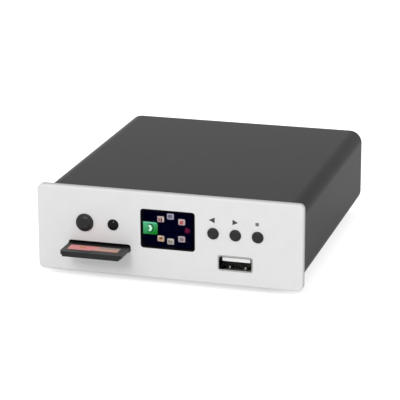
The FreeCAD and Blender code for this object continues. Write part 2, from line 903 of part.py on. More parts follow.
def make_display():
    """Clear window in the plate, glass panel and light behind it, frame and flat cable."""
    window = new_body("display_window", y=face + size.window_lip, z=display_height)
    nose = new_sketch(window, UPRIGHT)
    add_rounded_rectangle(nose, (0, 0), size.window_width - size.window_gap * 2,
                          size.window_height - size.window_gap * 2,
                          size.window_corner - size.window_gap)
    pad(window, nose, size.window_lip - size.window_recess, FORWARD)
    flange = new_sketch(window, UPRIGHT)
    add_rectangle(flange, (0, 0), panel_width, panel_height)
    pad(window, flange, size.window_flange, REARWARD)
    keep(window, "display_window")

    half_width, half_height = panel_width / 2, panel_height / 2
    panel = block("display_panel", (-half_width, panel_front, display_height - half_height),
                  (panel_width, panel_depth, panel_height))
    keep(panel, "display_panel")
    backlight = block("display_backlight", (-half_width, plate_back, display_height - half_height),
                      (panel_width, size.backlight_thickness, panel_height))
    keep(backlight, "display_backlight")

    frame = new_body("display_frame", y=plate_back, z=display_height)
    outer = new_sketch(frame, UPRIGHT)
    add_rectangle(outer, (0, 0), frame_width, frame_height)
    frame_depth = front_board_front - plate_back
    pad(frame, outer, frame_depth, REARWARD)
    front_recess = new_sketch(frame, UPRIGHT)
    add_rectangle(front_recess, (0, 0), panel_width, panel_height)
    pocket(frame, front_recess, size.backlight_thickness, REARWARD)
    rear_start = size.backlight_thickness + size.frame_floor
    rear_recess = new_sketch(frame, UPRIGHT, rear_start)
    add_rectangle(rear_recess, (0, 0), panel_width, panel_height)
    pocket(frame, rear_recess, frame_depth - rear_start, REARWARD)
    keep(frame, "display_frame")

    tail_start = plate_back + rear_start
    ribbon = new_body("display_ribbon", size.ribbon_place, tail_start, front_board_base)
    profile = new_sketch(ribbon, SIDEWAYS, -size.ribbon_width / 2)
    board_reach = front_board_back - tail_start
    bottom = -size.ribbon_lift
    add_outline(profile, [
        (0, bottom), (board_reach + size.ribbon_thickness, bottom),
        (board_reach + size.ribbon_thickness, size.ribbon_tail), (board_reach, size.ribbon_tail),
        (board_reach, bottom + size.ribbon_thickness), (0, bottom + size.ribbon_thickness)])
    pad(ribbon, profile, size.ribbon_width, RIGHTWARD)
    keep(ribbon, "display_ribbon")


# Remote-control eye and buttons

def turn_stem(body, radius, length, bevel):
    """Turn a stem that comes forward from the plate's back and ends in a bevelled face."""
    revolve(body, FLAT, [(0, -length), (radius - bevel, -length), (radius, bevel - length),
                         (radius, 0), (0, 0)])


def add_collar(body, radius, thickness):
    """Add the square collar that keeps a stem from turning and from coming out of the plate."""
    collar = new_sketch(body, UPRIGHT)
    side = (radius + size.collar_step) * 2
    add_rectangle(collar, (0, 0), side, side)
    pad(body, collar, thickness, REARWARD)


def make_eye():
    """Dark lens in the plate and the receiver on the front board behind it."""
    lens = new_body("remote_lens", size.eye_place, plate_back, button_height)
    turn_stem(lens, size.eye_radius, size.plate_thickness + size.eye_proud, size.eye_bevel)
    add_collar(lens, size.eye_radius, size.eye_flange)
    keep(lens, "remote_lens")

    receiver_depth = size.switch_depth - size.receiver_bump
    receiver = new_body("remote_receiver", size.eye_place, front_board_front, button_height)
    case = new_sketch(receiver, UPRIGHT)
    add_rectangle(case, (0, 0), size.receiver_width, size.receiver_height)
    pad(receiver, case, receiver_depth, FORWARD)
    bump = new_sketch(receiver, UPRIGHT, -receiver_depth)
    add_rectangle(bump, (0, 0), size.receiver_bump_side, size.receiver_bump_side)
    pad(receiver, bump, size.receiver_bump, FORWARD)
    dress(receiver, "Chamfer", at(-size.switch_depth, "Y"), size.receiver_bevel)
    keep(receiver, "remote_receiver")


def make_button(name, x, radius, proud, travel):
    """A cap held by its collar behind the plate, the plunger it presses, and its switch."""
    cap = new_body(f"{name}_button", x, plate_back, button_height)
    turn_stem(cap, radius, size.plate_thickness + proud, size.cap_bevel)
    add_collar(cap, radius, size.collar_thickness)
    keep(cap, f"{name}_button")

    half = size.plunger_side / 2
    plunger = block(f"{name}_plunger", (x - half, switch_front - size.plunger_proud, button_height - half),
                    (size.plunger_side, size.plunger_proud + size.plunger_held, size.plunger_side))
    keep(plunger, f"{name}_plunger")

    switch = new_body(f"{name}_switch", x, switch_front, button_height)
    case = new_sketch(switch, UPRIGHT)
    add_rectangle(case, (0, 0), size.switch_side, size.switch_side)
    pad(switch, case, size.switch_depth, REARWARD)
    well = new_sketch(switch, UPRIGHT)
    well_side = size.plunger_side + size.plunger_gap * 2
    add_rectangle(well, (0, 0), well_side, well_side)
    pocket(switch, well, size.plunger_held + travel + size.plunger_gap, REARWARD)
    return switch


# Memory card and its socket

def pad_places(start, count, pitch):
    """Middles of a row of contacts, spaced evenly about the middle."""
    return [start + pitch * (index - (count - 1) / 2) for index in range(count)]


def make_card_socket():
    """Moulded base with slots for its contacts, and a folded metal cover."""
    depth = card_end + size.socket_side_gap + size.socket_wall - board_front
    count = size.count("pad_count")
    base = new_body("card_socket_base", size.card_place, board_front, board_top)
    outline = new_sketch(base, FLAT)
    add_rectangle(outline, (0, depth / 2), socket_width, depth)
    wall_height = socket_top - board_top
    pad(base, outline, wall_height, UP)
    channel = new_sketch(base, UPRIGHT)
    channel_width = size.card_width + size.socket_side_gap * 2
    channel_height = wall_height - size.socket_floor
    add_rectangle(channel, (0, size.socket_floor + channel_height / 2), channel_width, channel_height)
    pocket(base, channel, depth - size.socket_wall, REARWARD)
    slot_length = size.contact_slot_length
    slot_start = depth - size.socket_wall - size.socket_side_gap - slot_length
    slot = new_sketch(base, FLAT, size.socket_floor)
    add_rectangle(slot, (pad_places(0, count, size.pad_pitch)[0], slot_start + slot_length / 2),
                  size.pad_width, slot_length)
    first_slot = pocket(base, slot, size.socket_floor, DOWN)
    repeat(base, first_slot, slot, "H_Axis", size.pad_pitch, count)
    keep(base, "card_socket_base")

    cover = new_body("card_socket_cover", size.card_place, board_front, board_top)
    outer_width = socket_width + size.socket_sheet * 2
    outer_height = wall_height + size.socket_sheet
    folded = new_sketch(cover, UPRIGHT)
    add_rectangle(folded, (0, outer_height / 2), outer_width, outer_height)
    pad(cover, folded, depth, REARWARD)
    inside = new_sketch(cover, UPRIGHT)
    add_rectangle(inside, (0, wall_height / 2), socket_width, wall_height)
    pocket(cover, inside, depth, REARWARD)
    window = new_sketch(cover, FLAT, wall_height)
    for side in (-1, 1):
        add_rectangle(window, (side * size.socket_window_spacing / 2, depth / 2),
                      size.socket_window_width, size.socket_window_length)
    pocket(cover, window, size.socket_sheet, UP)
    keep(cover, "card_socket_cover")

    finger_width = size.pad_width - size.lock_gap * 2
    group("card_socket_contacts", [
        block(f"socket_contact_{index}",
              (x - finger_width / 2, board_front + slot_start + size.lock_gap, board_top),
              (finger_width, slot_length - size.lock_gap * 2, size.socket_floor))
        for index, x in enumerate(pad_places(size.card_place, count, size.pad_pitch))])


def make_memory_card():
    """Card with a cut corner, thin side rails, a sunk label, sunk contact pads and a lock."""
    count = size.count("pad_count")
    card = new_body("memory_card", size.card_place, card_front, card_base)
    half = size.card_width / 2
    length = size.card_length
    outline = new_sketch(card, FLAT)
    add_outline(outline, [(-half, 0), (half, 0), (half, length - size.card_cut),
                          (half - size.card_cut, length), (-half, length)])
    pad(card, outline, size.card_thickness, UP)

    def front_corner(edge):
        return at(0, "Y")(edge) and edge.BoundBox.XLength < TINY
    dress(card, "Fillet", front_corner, size.card_corner)

    rabbets = new_sketch(card, UPRIGHT)
    rabbet_height = size.card_thickness - size.card_rail
    for side in (-1, 1):
        add_rectangle(rabbets, (side * (half - size.card_rabbet / 2), rabbet_height / 2),
                      size.card_rabbet, rabbet_height)
    pocket(card, rabbets, length, REARWARD)

    label_width = size.card_width - size.label_inset * 2
    label_middle = size.label_front + size.label_length / 2
    sunk_label = new_sketch(card, FLAT, size.card_thickness)
    add_rectangle(sunk_label, (0, label_middle), label_width, size.label_length)
    pocket(card, sunk_label, size.label_recess, DOWN)

    pad_row = pad_places(0, count, size.pad_pitch)
    pad_starts = [length - size.card_rabbet - size.pad_length] * (count - 1)
    pad_starts.append(length - size.card_cut - size.pad_length)
    sunk_pads = new_sketch(card, FLAT)
    for x, start in zip(pad_row, pad_starts):
        add_rectangle(sunk_pads, (x, start + size.pad_length / 2), size.pad_width, size.pad_length)
    pocket(card, sunk_pads, size.pad_recess, UP)

    notch_length = size.lock_length + size.lock_travel + size.lock_gap * 2
    notch_width = size.lock_width + size.lock_gap
    notch_start = length - size.lock_from_end - notch_length
    notch = new_sketch(card, FLAT, size.card_thickness)
    add_rectangle(notch, (notch_width / 2 - half, notch_start + notch_length / 2),
                  notch_width, notch_length)
    pocket(card, notch, size.card_rail, DOWN)
    rail_middle = size.card_thickness - size.card_rail / 2
    groove = new_sketch(card, SIDEWAYS, notch_width - half)
    add_rectangle(groove, (notch_start + notch_length / 2, rail_middle), notch_length,
                  size.lock_rib + size.lock_gap * 2)
    pocket(card, groove, size.lock_rib + size.lock_gap, RIGHTWARD)
    keep(card, "memory_card")

    label_base = card_base + size.card_thickness - size.label_recess
    label = block("memory_card_label",
                  (size.card_place - label_width / 2, card_front + size.label_front, label_base),
                  (label_width, size.label_length, size.label_thickness))
    keep(label, "memory_card_label")

    pad_base = card_base + size.pad_recess - size.pad_thickness
    group("memory_card_contacts", [
        block(f"card_pad_{index}",
              (size.card_place + x - size.pad_width / 2, card_front + start, pad_base),
              (size.pad_width, size.pad_length, size.pad_thickness))
        for index, (x, start) in enumerate(zip(pad_row, pad_starts))])

    rail_base = card_base + size.card_thickness - size.card_rail
    lock_end = card_front + notch_start + notch_length - size.lock_gap
    lock = new_body("memory_card_lock", size.card_place - half, lock_end, rail_base + size.lock_gap)
    tab = new_sketch(lock, FLAT)
    add_rectangle(tab, (size.lock_width / 2, -size.lock_length / 2), size.lock_width, size.lock_length)
    pad(lock, tab, size.card_rail - size.lock_gap * 2, UP)
    rib = new_sketch(lock, SIDEWAYS, size.lock_width)
    add_rectangle(rib, (-size.lock_length / 2, size.card_rail / 2 - size.lock_gap),
                  size.lock_length, size.lock_rib)
    pad(lock, rib, size.lock_rib + size.lock_gap, RIGHTWARD)
    grip = new_sketch(lock, FLAT, size.card_rail - size.lock_gap * 2)
    grip_count = size.count("lock_grip_count")
    for y in pad_places(-size.lock_length / 2, grip_count, size.lock_length / (grip_count + 1)):
        add_rectangle(grip, (size.lock_width / 2, y), size.lock_width, size.lock_grip_width)
    pad(lock, grip, size.lock_gap, UP)
    keep(lock, "memory_card_lock")


# Front data socket

def make_usb_socket():
    """Folded metal shell with spring fingers, and a tongue that carries the contacts."""
    shell = new_body("usb_shell", usb_place, usb_front, usb_height)
    inner_width = size.usb_width - size.usb_sheet * 2
    inner_height = size.usb_height - size.usb_sheet * 2
    outer = new_sketch(shell, UPRIGHT)
    add_rounded_rectangle(outer, (0, 0), size.usb_width, size.usb_height, size.usb_corner)
    pad(shell, outer, size.usb_depth, REARWARD)
    inner = new_sketch(shell, UPRIGHT)
    add_rounded_rectangle(inner, (0, 0), inner_width, inner_height, size.usb_corner - size.usb_sheet)
    pocket(shell, inner, size.usb_depth, REARWARD)
    finger_start = size.usb_finger_start
    finger_end = finger_start + size.usb_finger_length
    tip = finger_start + size.usb_sheet
    bend = tip + size.usb_finger_bend
    for side, rise in ((-1, size.usb_finger_rise), (1, size.usb_roof_finger_rise)):
        wall = side * size.usb_height / 2
        inside = wall - side * size.usb_sheet
        windows = new_sketch(shell, FLAT, side * inner_height / 2)
        for column in (-1, 1):
            finger_middle = (column * size.usb_finger_spacing / 2,
                             finger_start + size.usb_finger_length / 2)
            add_rectangle(windows, finger_middle, size.usb_finger_width + size.usb_sheet * 2,
                          size.usb_finger_length)
        pocket(shell, windows, size.usb_sheet, side)
        for column in (-1, 1):
            finger_left = column * size.usb_finger_spacing / 2 - size.usb_finger_width / 2
            finger = new_sketch(shell, SIDEWAYS, finger_left)
            add_outline(finger, [
                (finger_end, wall), (finger_end, inside), (bend, inside - side * rise),
                (tip, inside), (tip, wall), (bend, wall - side * rise)])
            pad(shell, finger, size.usb_finger_width, RIGHTWARD)
    keep(shell, "usb_shell")

    tongue_top = inner_height / 2 - size.tongue_roof
    tongue_low = tongue_top - size.tongue_thickness
    tongue_start = size.tongue_recess
    block_start = size.usb_depth - size.tongue_block
    tongue = new_body("usb_tongue", usb_place, usb_front, usb_height)
    back_block = new_sketch(tongue, UPRIGHT, block_start)
    add_rounded_rectangle(back_block, (0, 0), inner_width, inner_height, size.usb_corner - size.usb_sheet)
    pad(tongue, back_block, size.tongue_block, REARWARD)
    blade = new_sketch(tongue, UPRIGHT, tongue_start)
    add_rectangle(blade, (0, tongue_top - size.tongue_thickness / 2), size.tongue_width,
                  size.tongue_thickness)
    pad(tongue, blade, block_start - tongue_start, REARWARD)
    keep(tongue, "usb_tongue")

    count = size.count("usb_contact_count")
    contact_length = block_start - size.usb_contact_start
    group("usb_contacts", [
        block(f"usb_contact_{index}",
              (x - size.usb_contact_width / 2, usb_front + size.usb_contact_start,
               usb_height + tongue_low - size.usb_contact_thickness),
              (size.usb_contact_width, contact_length, size.usb_contact_thickness))
        for index, x in enumerate(pad_places(usb_place, count, size.usb_contact_pitch))])


# Rear sockets

def make_rca_socket(name, x):
    """Round sound socket: metal shell, moulded block whose nose fills it, centre contact."""
    shell = new_body(f"{name}_shell", x, panel_face, rca_height)
    collar = size.rca_radius + size.rca_collar
    revolve(shell, FLAT, [
        (rca_nose_radius, 0), (collar, 0), (collar, size.rca_collar_thickness),
        (size.rca_radius, size.rca_collar_thickness), (size.rca_radius, size.rca_proud),
        (rca_nose_radius, size.rca_proud)])
    keep(shell, f"{name}_shell")

    housing = new_body(f"{name}_housing", x, panel_face, rca_height)
    back = new_sketch(housing, UPRIGHT, -size.tray_wall)
    middle = size.rca_block_height / 2 - size.rca_rise
    add_rectangle(back, (0, middle), size.rca_block_width, size.rca_block_height)
    pad(housing, back, size.rca_block_depth, FORWARD)
    nose = new_sketch(housing, UPRIGHT, -size.tray_wall)
    add_circle(nose, (0, 0), rca_nose_radius)
    pad(housing, nose, size.tray_wall + size.rca_proud - size.rca_face_recess, REARWARD)
    contact_radius = size.rca_bore_radius + size.rca_contact_wall
    bore = new_sketch(housing, UPRIGHT, size.rca_proud - size.rca_face_recess)
    add_circle(bore, (0, 0), contact_radius)
    pocket(housing, bore, size.rca_proud - size.rca_face_recess + size.rca_contact_depth, FORWARD)
    keep(housing, f"{name}_housing")

    contact = new_body(f"{name}_contact", x, panel_face, rca_height)
    mouth = size.rca_proud - size.rca_contact_recess
    back_end = -size.rca_contact_depth
    revolve(contact, FLAT, [
        (0, back_end), (contact_radius, back_end), (contact_radius, mouth), (size.rca_bore_radius, mouth),
        (size.rca_bore_radius, back_end + size.rca_contact_wall), (0, back_end + size.rca_contact_wall)])
    keep(contact, f"{name}_contact")


def make_ethernet_socket():
    """Network socket: screening can, moulded insert with a stepped mouth, eight wires."""
    front = panel_face + size.ethernet_proud
    base = board_top
    insert_width = size.ethernet_width - size.ethernet_sheet * 2
    insert_height = size.ethernet_height - size.ethernet_sheet
    mouth_top = size.ethernet_height - size.mouth_roof
    mouth_low = mouth_top - size.mouth_height
    latch_low = mouth_low - size.latch_height
    key_low = latch_low - size.key_height

    insert = new_body("ethernet_insert", size.ethernet_place, front, base)
    body_sketch = new_sketch(insert, UPRIGHT, -size.ethernet_sheet)
    add_rectangle(body_sketch, (0, insert_height / 2), insert_width, insert_height)
    pad(insert, body_sketch, size.ethernet_depth - size.ethernet_sheet * 2, FORWARD)
    mouth = new_sketch(insert, UPRIGHT, -size.ethernet_sheet)
    half, latch, key = size.mouth_width / 2, size.latch_width / 2, size.key_width / 2
    add_outline(mouth, [
        (-half, mouth_top), (-half, mouth_low), (-latch, mouth_low), (-latch, latch_low),
        (-key, latch_low), (-key, key_low), (key, key_low), (key, latch_low), (latch, latch_low),
        (latch, mouth_low), (half, mouth_low), (half, mouth_top)])
    pocket(insert, mouth, size.mouth_depth, FORWARD)
    keep(insert, "ethernet_insert")

    shield = new_body("ethernet_shield", size.ethernet_place, front, base)
    can = new_sketch(shield, UPRIGHT)
    add_rectangle(can, (0, size.ethernet_height / 2), size.ethernet_width, size.ethernet_height)
    pad(shield, can, size.ethernet_depth, FORWARD)
    hollow = new_sketch(shield, UPRIGHT, -size.ethernet_sheet)
    add_rectangle(hollow, (0, insert_height / 2), insert_width, insert_height)
    pocket(shield, hollow, size.ethernet_depth - size.ethernet_sheet * 2, FORWARD)
    window = new_sketch(shield, UPRIGHT)
    window_height = mouth_top - key_low + size.ethernet_sheet
    add_rectangle(window, (0, mouth_top - window_height / 2 + size.ethernet_sheet / 2),
                  size.mouth_width + size.ethernet_sheet, window_height)
    pocket(shield, window, size.ethernet_sheet, FORWARD)
    keep(shield, "ethernet_shield")

    count = size.count("wire_count")
    slope = math.degrees(math.atan2(size.wire_drop.value, size.wire_reach.value))
    wire_start = front - size.ethernet_sheet - size.mouth_depth + size.wire_width
    wire_low = base + mouth_top - size.wire_drop - size.wire_width
    group("ethernet_contacts", [
        block(f"wire_{index}",
              (x - size.wire_width / 2, wire_start, wire_low),
              (size.wire_width, size.wire_reach, size.wire_width), slope)
        for index, x in enumerate(pad_places(size.ethernet_place, count, size.wire_pitch))])


def make_supply_socket():
    """Low-voltage socket: moulded body with a round nose and bore, and a centre pin."""
    socket = new_body("supply_socket", supply_place, panel_face, supply_height)
    back = new_sketch(socket, UPRIGHT, -size.tray_wall)
    add_rectangle(back, (0, size.supply_height / 2 - size.supply_rise), size.supply_width,
                  size.supply_height)
    pad(socket, back, size.supply_depth, FORWARD)
    nose = new_sketch(socket, UPRIGHT, -size.tray_wall)
    add_circle(nose, (0, 0), size.supply_nose_radius)
    pad(socket, nose, size.tray_wall + size.supply_proud, REARWARD)
    bore = new_sketch(socket, UPRIGHT, size.supply_proud)
    add_circle(bore, (0, 0), size.supply_bore_radius)
    pocket(socket, bore, size.supply_bore_depth, FORWARD)
    keep(socket, "supply_socket")

    pin_body = new_body("supply_pin", supply_place, panel_face, supply_height)
    tip = size.supply_proud - size.supply_pin_recess
    seat = size.supply_proud - size.supply_bore_depth
    revolve(pin_body, FLAT, [
        (0, seat), (size.supply_pin_radius, seat), (size.supply_pin_radius, tip - size.supply_pin_bevel),
        (size.supply_pin_radius - size.supply_pin_bevel, tip), (0, tip)])
    keep(pin_body, "supply_pin")


# Parts on the main board

def make_chip(name, width, length, thickness, x, back):
    """Moulded chip with a bevel round its top."""
    chip = new_body(name, x, plate_back + back, board_top)
    outline = new_sketch(chip, FLAT)
    add_rectangle(outline, (0, length / 2), width, length)
    pad(chip, outline, thickness, UP)
    dress(chip, "Chamfer", at(thickness, "Z"), size.chip_bevel)
    keep(chip, name)


def make_capacitors():
    """Row of upright cans, each on a square base with two cut corners."""
    half, cut = size.capacitor_base_side / 2, size.capacitor_base_cut
    can_height = size.capacitor_height - size.capacitor_base_height
    cans = []
    for index in range(size.count("capacitor_count")):
        x = size.capacitor_place + size.capacitor_pitch * index
        can = new_body(f"can_{index}", x, plate_back + size.capacitor_back, board_top)
        base = new_sketch(can, FLAT)
        add_outline(base, [(-half, -half), (half, -half), (half, half - cut), (half - cut, half),
                           (cut - half, half), (-half, half - cut)])
        pad(can, base, size.capacitor_base_height, UP)
        barrel = new_sketch(can, FLAT, size.capacitor_base_height)
        add_circle(barrel, (0, 0), size.capacitor_radius)
        pad(can, barrel, can_height, UP)
        cans.append(can)
    group("capacitors", cans)


def write_parts():
    """Stop at the first object that failed, then write each sub-part to its own file."""
    model.recompute()
    for item in model.Objects:
        if "Invalid" in item.State or "Error" in item.State:
            raise ValueError(f"{item.Name} failed: {item.State}")
    for node in nodes:
        if node.Shape.isNull() or not node.Shape.isValid():
            raise ValueError(f"{node.Label} has no valid shape")
    os.makedirs("parts", exist_ok=True)
    for node in nodes:
        node.Shape.exportStep(f"parts/{node.Label}.step")
    print(len(nodes), "sub-parts written")


make_front_plate()
make_cover()
make_base_tray()
make_front_sheet()
make_rear_panel()
for corner, foot_point in foot_points(0).items():
    make_foot(f"foot_{corner}", foot_point)
make_case_screws()
make_board_supports()
make_main_board()
make_front_board()
make_board_link()
make_display()
make_eye()
group("button_switches", [
    make_button("power", size.power_place, size.power_radius, size.power_proud, size.power_travel),
    *(make_button(button, x, size.button_radius, size.button_proud, size.button_travel)
      for button, x in button_places.items())])
make_card_socket()
make_memory_card()
make_usb_socket()
for channel_name, channel_x in rca_places.items():
    make_rca_socket(f"{channel_name}_output", channel_x)
make_ethernet_socket()
make_supply_socket()
make_chip("processor", size.processor_side, size.processor_side, size.processor_thickness,
          size.processor_place, size.processor_back)
make_chip("converter", size.converter_width, size.converter_length, size.converter_thickness,
          size.converter_place, size.converter_back)
make_capacitors()
write_parts()
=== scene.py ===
import json
import math

import bmesh
import bpy
from mathutils import Matrix, Vector


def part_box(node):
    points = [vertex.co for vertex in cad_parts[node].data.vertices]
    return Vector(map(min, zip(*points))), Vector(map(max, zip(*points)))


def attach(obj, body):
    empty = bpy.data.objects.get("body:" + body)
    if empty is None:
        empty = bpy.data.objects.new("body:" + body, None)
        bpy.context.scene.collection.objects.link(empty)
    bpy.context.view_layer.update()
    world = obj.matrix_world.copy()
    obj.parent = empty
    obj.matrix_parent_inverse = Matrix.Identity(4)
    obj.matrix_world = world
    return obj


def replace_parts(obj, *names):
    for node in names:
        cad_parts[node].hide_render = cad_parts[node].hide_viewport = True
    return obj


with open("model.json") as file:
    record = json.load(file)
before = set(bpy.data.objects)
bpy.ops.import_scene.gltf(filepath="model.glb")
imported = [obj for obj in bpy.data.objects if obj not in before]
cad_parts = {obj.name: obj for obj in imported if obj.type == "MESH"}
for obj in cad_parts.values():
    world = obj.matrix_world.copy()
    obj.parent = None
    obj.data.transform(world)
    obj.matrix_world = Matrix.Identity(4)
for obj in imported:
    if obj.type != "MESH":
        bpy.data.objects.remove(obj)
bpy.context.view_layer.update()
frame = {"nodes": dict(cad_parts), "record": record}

MM = 0.001
WHITE = (1.0, 1.0, 1.0)
ROOT = "chassis"


# Places read from the frame

def middle(node):
    low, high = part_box(node)
    return (low + high) / 2


plate_low, plate_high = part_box("front_plate")
panel_low, panel_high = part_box("display_panel")


# Material helpers

# Most of a noise texture's values lie between these two.
NOISE_LOW, NOISE_HIGH = 0.3, 0.7

# How alike the plain and the rounded normal are, away from an edge and on it.
FLAT_LIKENESS, EDGE_LIKENESS = 0.999, 0.92
EDGE_SAMPLES = 4

# Stretches of a noise: none, and along Y as rolling marks.
EVEN = (1.0, 1.0, 1.0)
ROLLED = (1.0, 0.08, 1.0)


def srgb(red, green, blue):
    """A colour given as seen on a screen, 0 to 255, as linear values."""
    def linear(value):
        share = value / 255
        return share / 12.92 if share <= 0.04045 else ((share + 0.055) / 1.055) ** 2.4
    return (linear(red), linear(green), linear(blue))


def shade(colour, share):
    return tuple(channel * share for channel in colour)


def computed(nodes, links, operation, *inputs):
    """The result of a math node; each input is a number or the output of another node."""
    node = nodes.new("ShaderNodeMath")
    node.operation = operation
    for number, value in enumerate(inputs):
        if isinstance(value, float):
            node.inputs[number].default_value = value
        else:
            links.new(value, node.inputs[number])
    return node.outputs["Value"]


class Finish:
    """A node material with one Principled shader, and short calls for what is wired to it."""

    def __init__(self, name, colour, roughness, metallic=0.0, **constants):
        self.material = bpy.data.materials.new(name)
        self.material.use_nodes = True
        self.nodes = self.material.node_tree.nodes
        self.links = self.material.node_tree.links
        self.shader = self.nodes["Principled BSDF"]
        self.colour = colour
        self.set("Base Color", (*colour, 1.0))
        self.set("Roughness", roughness)
        self.set("Metallic", metallic)
        for socket, value in constants.items():
            self.set(socket.replace("_", " "), value)
        self.place = self.nodes.new("ShaderNodeTexCoord").outputs["Object"]
        self.axes = self.nodes.new("ShaderNodeSeparateXYZ")
        self.links.new(self.place, self.axes.inputs["Vector"])
        self.last_bump = None

    def set(self, socket, value):
        self.shader.inputs[socket].default_value = value

    def wire(self, output, socket):
        self.links.new(output, self.shader.inputs[socket])

    def noise(self, grain, detail=2.0, stretch=EVEN):
        """Noise whose features are about grain metres across."""
        mapping = self.nodes.new("ShaderNodeMapping")
        mapping.inputs["Scale"].default_value = stretch
        self.links.new(self.place, mapping.inputs["Vector"])
        noise = self.nodes.new("ShaderNodeTexNoise")
        noise.inputs["Scale"].default_value = 1.0 / grain
        noise.inputs["Detail"].default_value = detail
        self.links.new(mapping.outputs["Vector"], noise.inputs["Vector"])
        return noise.outputs["Fac"]

    def step(self, source, start, end, low=0.0, high=1.0):
        """Turn a signal into low before start, high after end, and a ramp between them."""
        ranger = self.nodes.new("ShaderNodeMapRange")
        ranger.inputs["From Min"].default_value = start
        ranger.inputs["From Max"].default_value = end
        ranger.inputs["To Min"].default_value = low
        ranger.inputs["To Max"].default_value = high
        self.links.new(source, ranger.inputs["Value"])
        return ranger.outputs["Result"]

    def spread(self, source, low, high):
        """Map the middle of a 0 to 1 noise onto the range from low to high."""
        return self.step(source, NOISE_LOW, NOISE_HIGH, low, high)

    def product(self, first, second):
        return computed(self.nodes, self.links, "MULTIPLY", first, second)

    def larger(self, first, second):
        return computed(self.nodes, self.links, "MAXIMUM", first, second)

    def band(self, axis, low, high, soft):
        """1 where the place along the axis lies from low to high, with soft borders."""
        place = self.axes.outputs[axis]
        return self.product(self.step(place, low - soft, low + soft),
                            self.step(place, high + soft, high - soft))

    def edges(self, reach):
        """1 along the edges of the shape, 0 more than about reach metres away from them."""
        bevel = self.nodes.new("ShaderNodeBevel")
        bevel.samples = EDGE_SAMPLES
        bevel.inputs["Radius"].default_value = reach
        plain = self.nodes.new("ShaderNodeNewGeometry")
        likeness = self.nodes.new("ShaderNodeVectorMath")
        likeness.operation = "DOT_PRODUCT"
        self.links.new(bevel.outputs["Normal"], likeness.inputs[0])
        self.links.new(plain.outputs["Normal"], likeness.inputs[1])
        return self.step(likeness.outputs["Value"], FLAT_LIKENESS, EDGE_LIKENESS)

    def mix(self, factor, first, second):
        """Blend two colours, each of them a plain one or the output of another node."""
        mix = self.nodes.new("ShaderNodeMix")
        mix.data_type = "RGBA"
        for socket, colour in (("A", first), ("B", second)):
            if isinstance(colour, tuple):
                mix.inputs[socket].default_value = (*colour, 1.0)
            else:
                self.links.new(colour, mix.inputs[socket])
        self.links.new(factor, mix.inputs["Factor"])
        return mix.outputs["Result"]

    def mottled(self, patch, darkest, lightest):
        """The finish's colour, darker and lighter in patches about patch metres across."""
        return self.mix(self.spread(self.noise(patch), 0.0, 1.0),
                        shade(self.colour, darkest), shade(self.colour, lightest))

    def paint(self, patch, darkest, lightest, edge, edge_share):
        """A mottled body whose edges, up to edge metres wide, have edge_share of its colour."""
        body = self.mottled(patch, darkest, lightest)
        self.wire(self.mix(self.edges(edge), body, shade(self.colour, edge_share)), "Base Color")

    def bump(self, source, height):
        """Raise the surface by up to height metres where the source is bright."""
        bump = self.nodes.new("ShaderNodeBump")
        bump.inputs["Distance"].default_value = height
        self.links.new(source, bump.inputs["Height"])
        if self.last_bump:
            self.links.new(self.last_bump, bump.inputs["Normal"])
        self.last_bump = bump.outputs["Normal"]
        self.wire(self.last_bump, "Normal")

    def grain(self, size, smoothest, roughest, height=None, detail=2.0, stretch=EVEN):
        """Roughness that varies with a grain of this size, and the same grain as relief."""
        noise = self.noise(size, detail, stretch)
        self.wire(self.spread(noise, smoothest, roughest), "Roughness")
        if height is not None:
            self.bump(noise, height)


# Finishes

def anodised_aluminium():
    """Fine blasted and clear-anodised metal, darker behind its face: duller from the milling there, and
    painted shade on its edges and in its openings.
    """
    finish = Finish("anodised_aluminium", (0.79, 0.79, 0.795), roughness=0.58, metallic=0.25)
    face = finish.mottled(6 * MM, darkest=0.985, lightest=1.01)
    # Behind the face the colour is partly duller metal and partly painted shade, growing darker further in.
    milled_and_shaded = finish.mottled(0.6 * MM, darkest=0.46, lightest=0.54)
    face_depth = 0.1 * MM
    behind = finish.step(finish.axes.outputs["Y"], plate_low.y + face_depth, plate_high.y)
    finish.wire(finish.mix(behind, face, milled_and_shaded), "Base Color")
    finish.grain(0.12 * MM, smoothest=0.54, roughest=0.62, height=0.004 * MM, detail=3.0)
    return finish.material


def cover_paint():
    """Dark satin powder coat with a fine grain: it shines at a low angle, its edges are lighter."""
    finish = Finish("cover_paint", (0.0112, 0.0111, 0.0113), roughness=0.32, Specular_IOR_Level=0.05)
    finish.paint(9 * MM, darkest=0.93, lightest=1.07, edge=0.2 * MM, edge_share=1.5)
    finish.grain(0.25 * MM, smoothest=0.28, roughest=0.36, height=0.012 * MM, detail=3.0)
    return finish.material


def tray_paint():
    """Black satin paint, a little worn along the sheet's edges."""
    finish = Finish("tray_paint", (0.020, 0.020, 0.021), roughness=0.5)
    finish.paint(5 * MM, darkest=0.9, lightest=1.15, edge=0.2 * MM, edge_share=2.2)
    finish.grain(0.2 * MM, smoothest=0.44, roughest=0.56, height=0.008 * MM)
    return finish.material


def rubber():
    """Matt black rubber, dusty in places."""
    finish = Finish("rubber", (0.016, 0.016, 0.016), roughness=0.8)
    finish.wire(finish.mottled(1.5 * MM, darkest=0.85, lightest=1.4), "Base Color")
    finish.grain(0.15 * MM, smoothest=0.72, roughest=0.88, height=0.01 * MM)
    return finish.material


def plated_metal(name, colour, roughness):
    """Plated sheet or turned metal with faint rolling marks and polished edges."""
    finish = Finish(name, colour, roughness, metallic=1.0)
    finish.paint(1.2 * MM, darkest=0.93, lightest=1.03, edge=0.08 * MM, edge_share=1.12)
    finish.grain(0.08 * MM, smoothest=roughness * 0.8, roughest=roughness * 1.25, height=0.001 * MM,
                 stretch=ROLLED)
    return finish.material


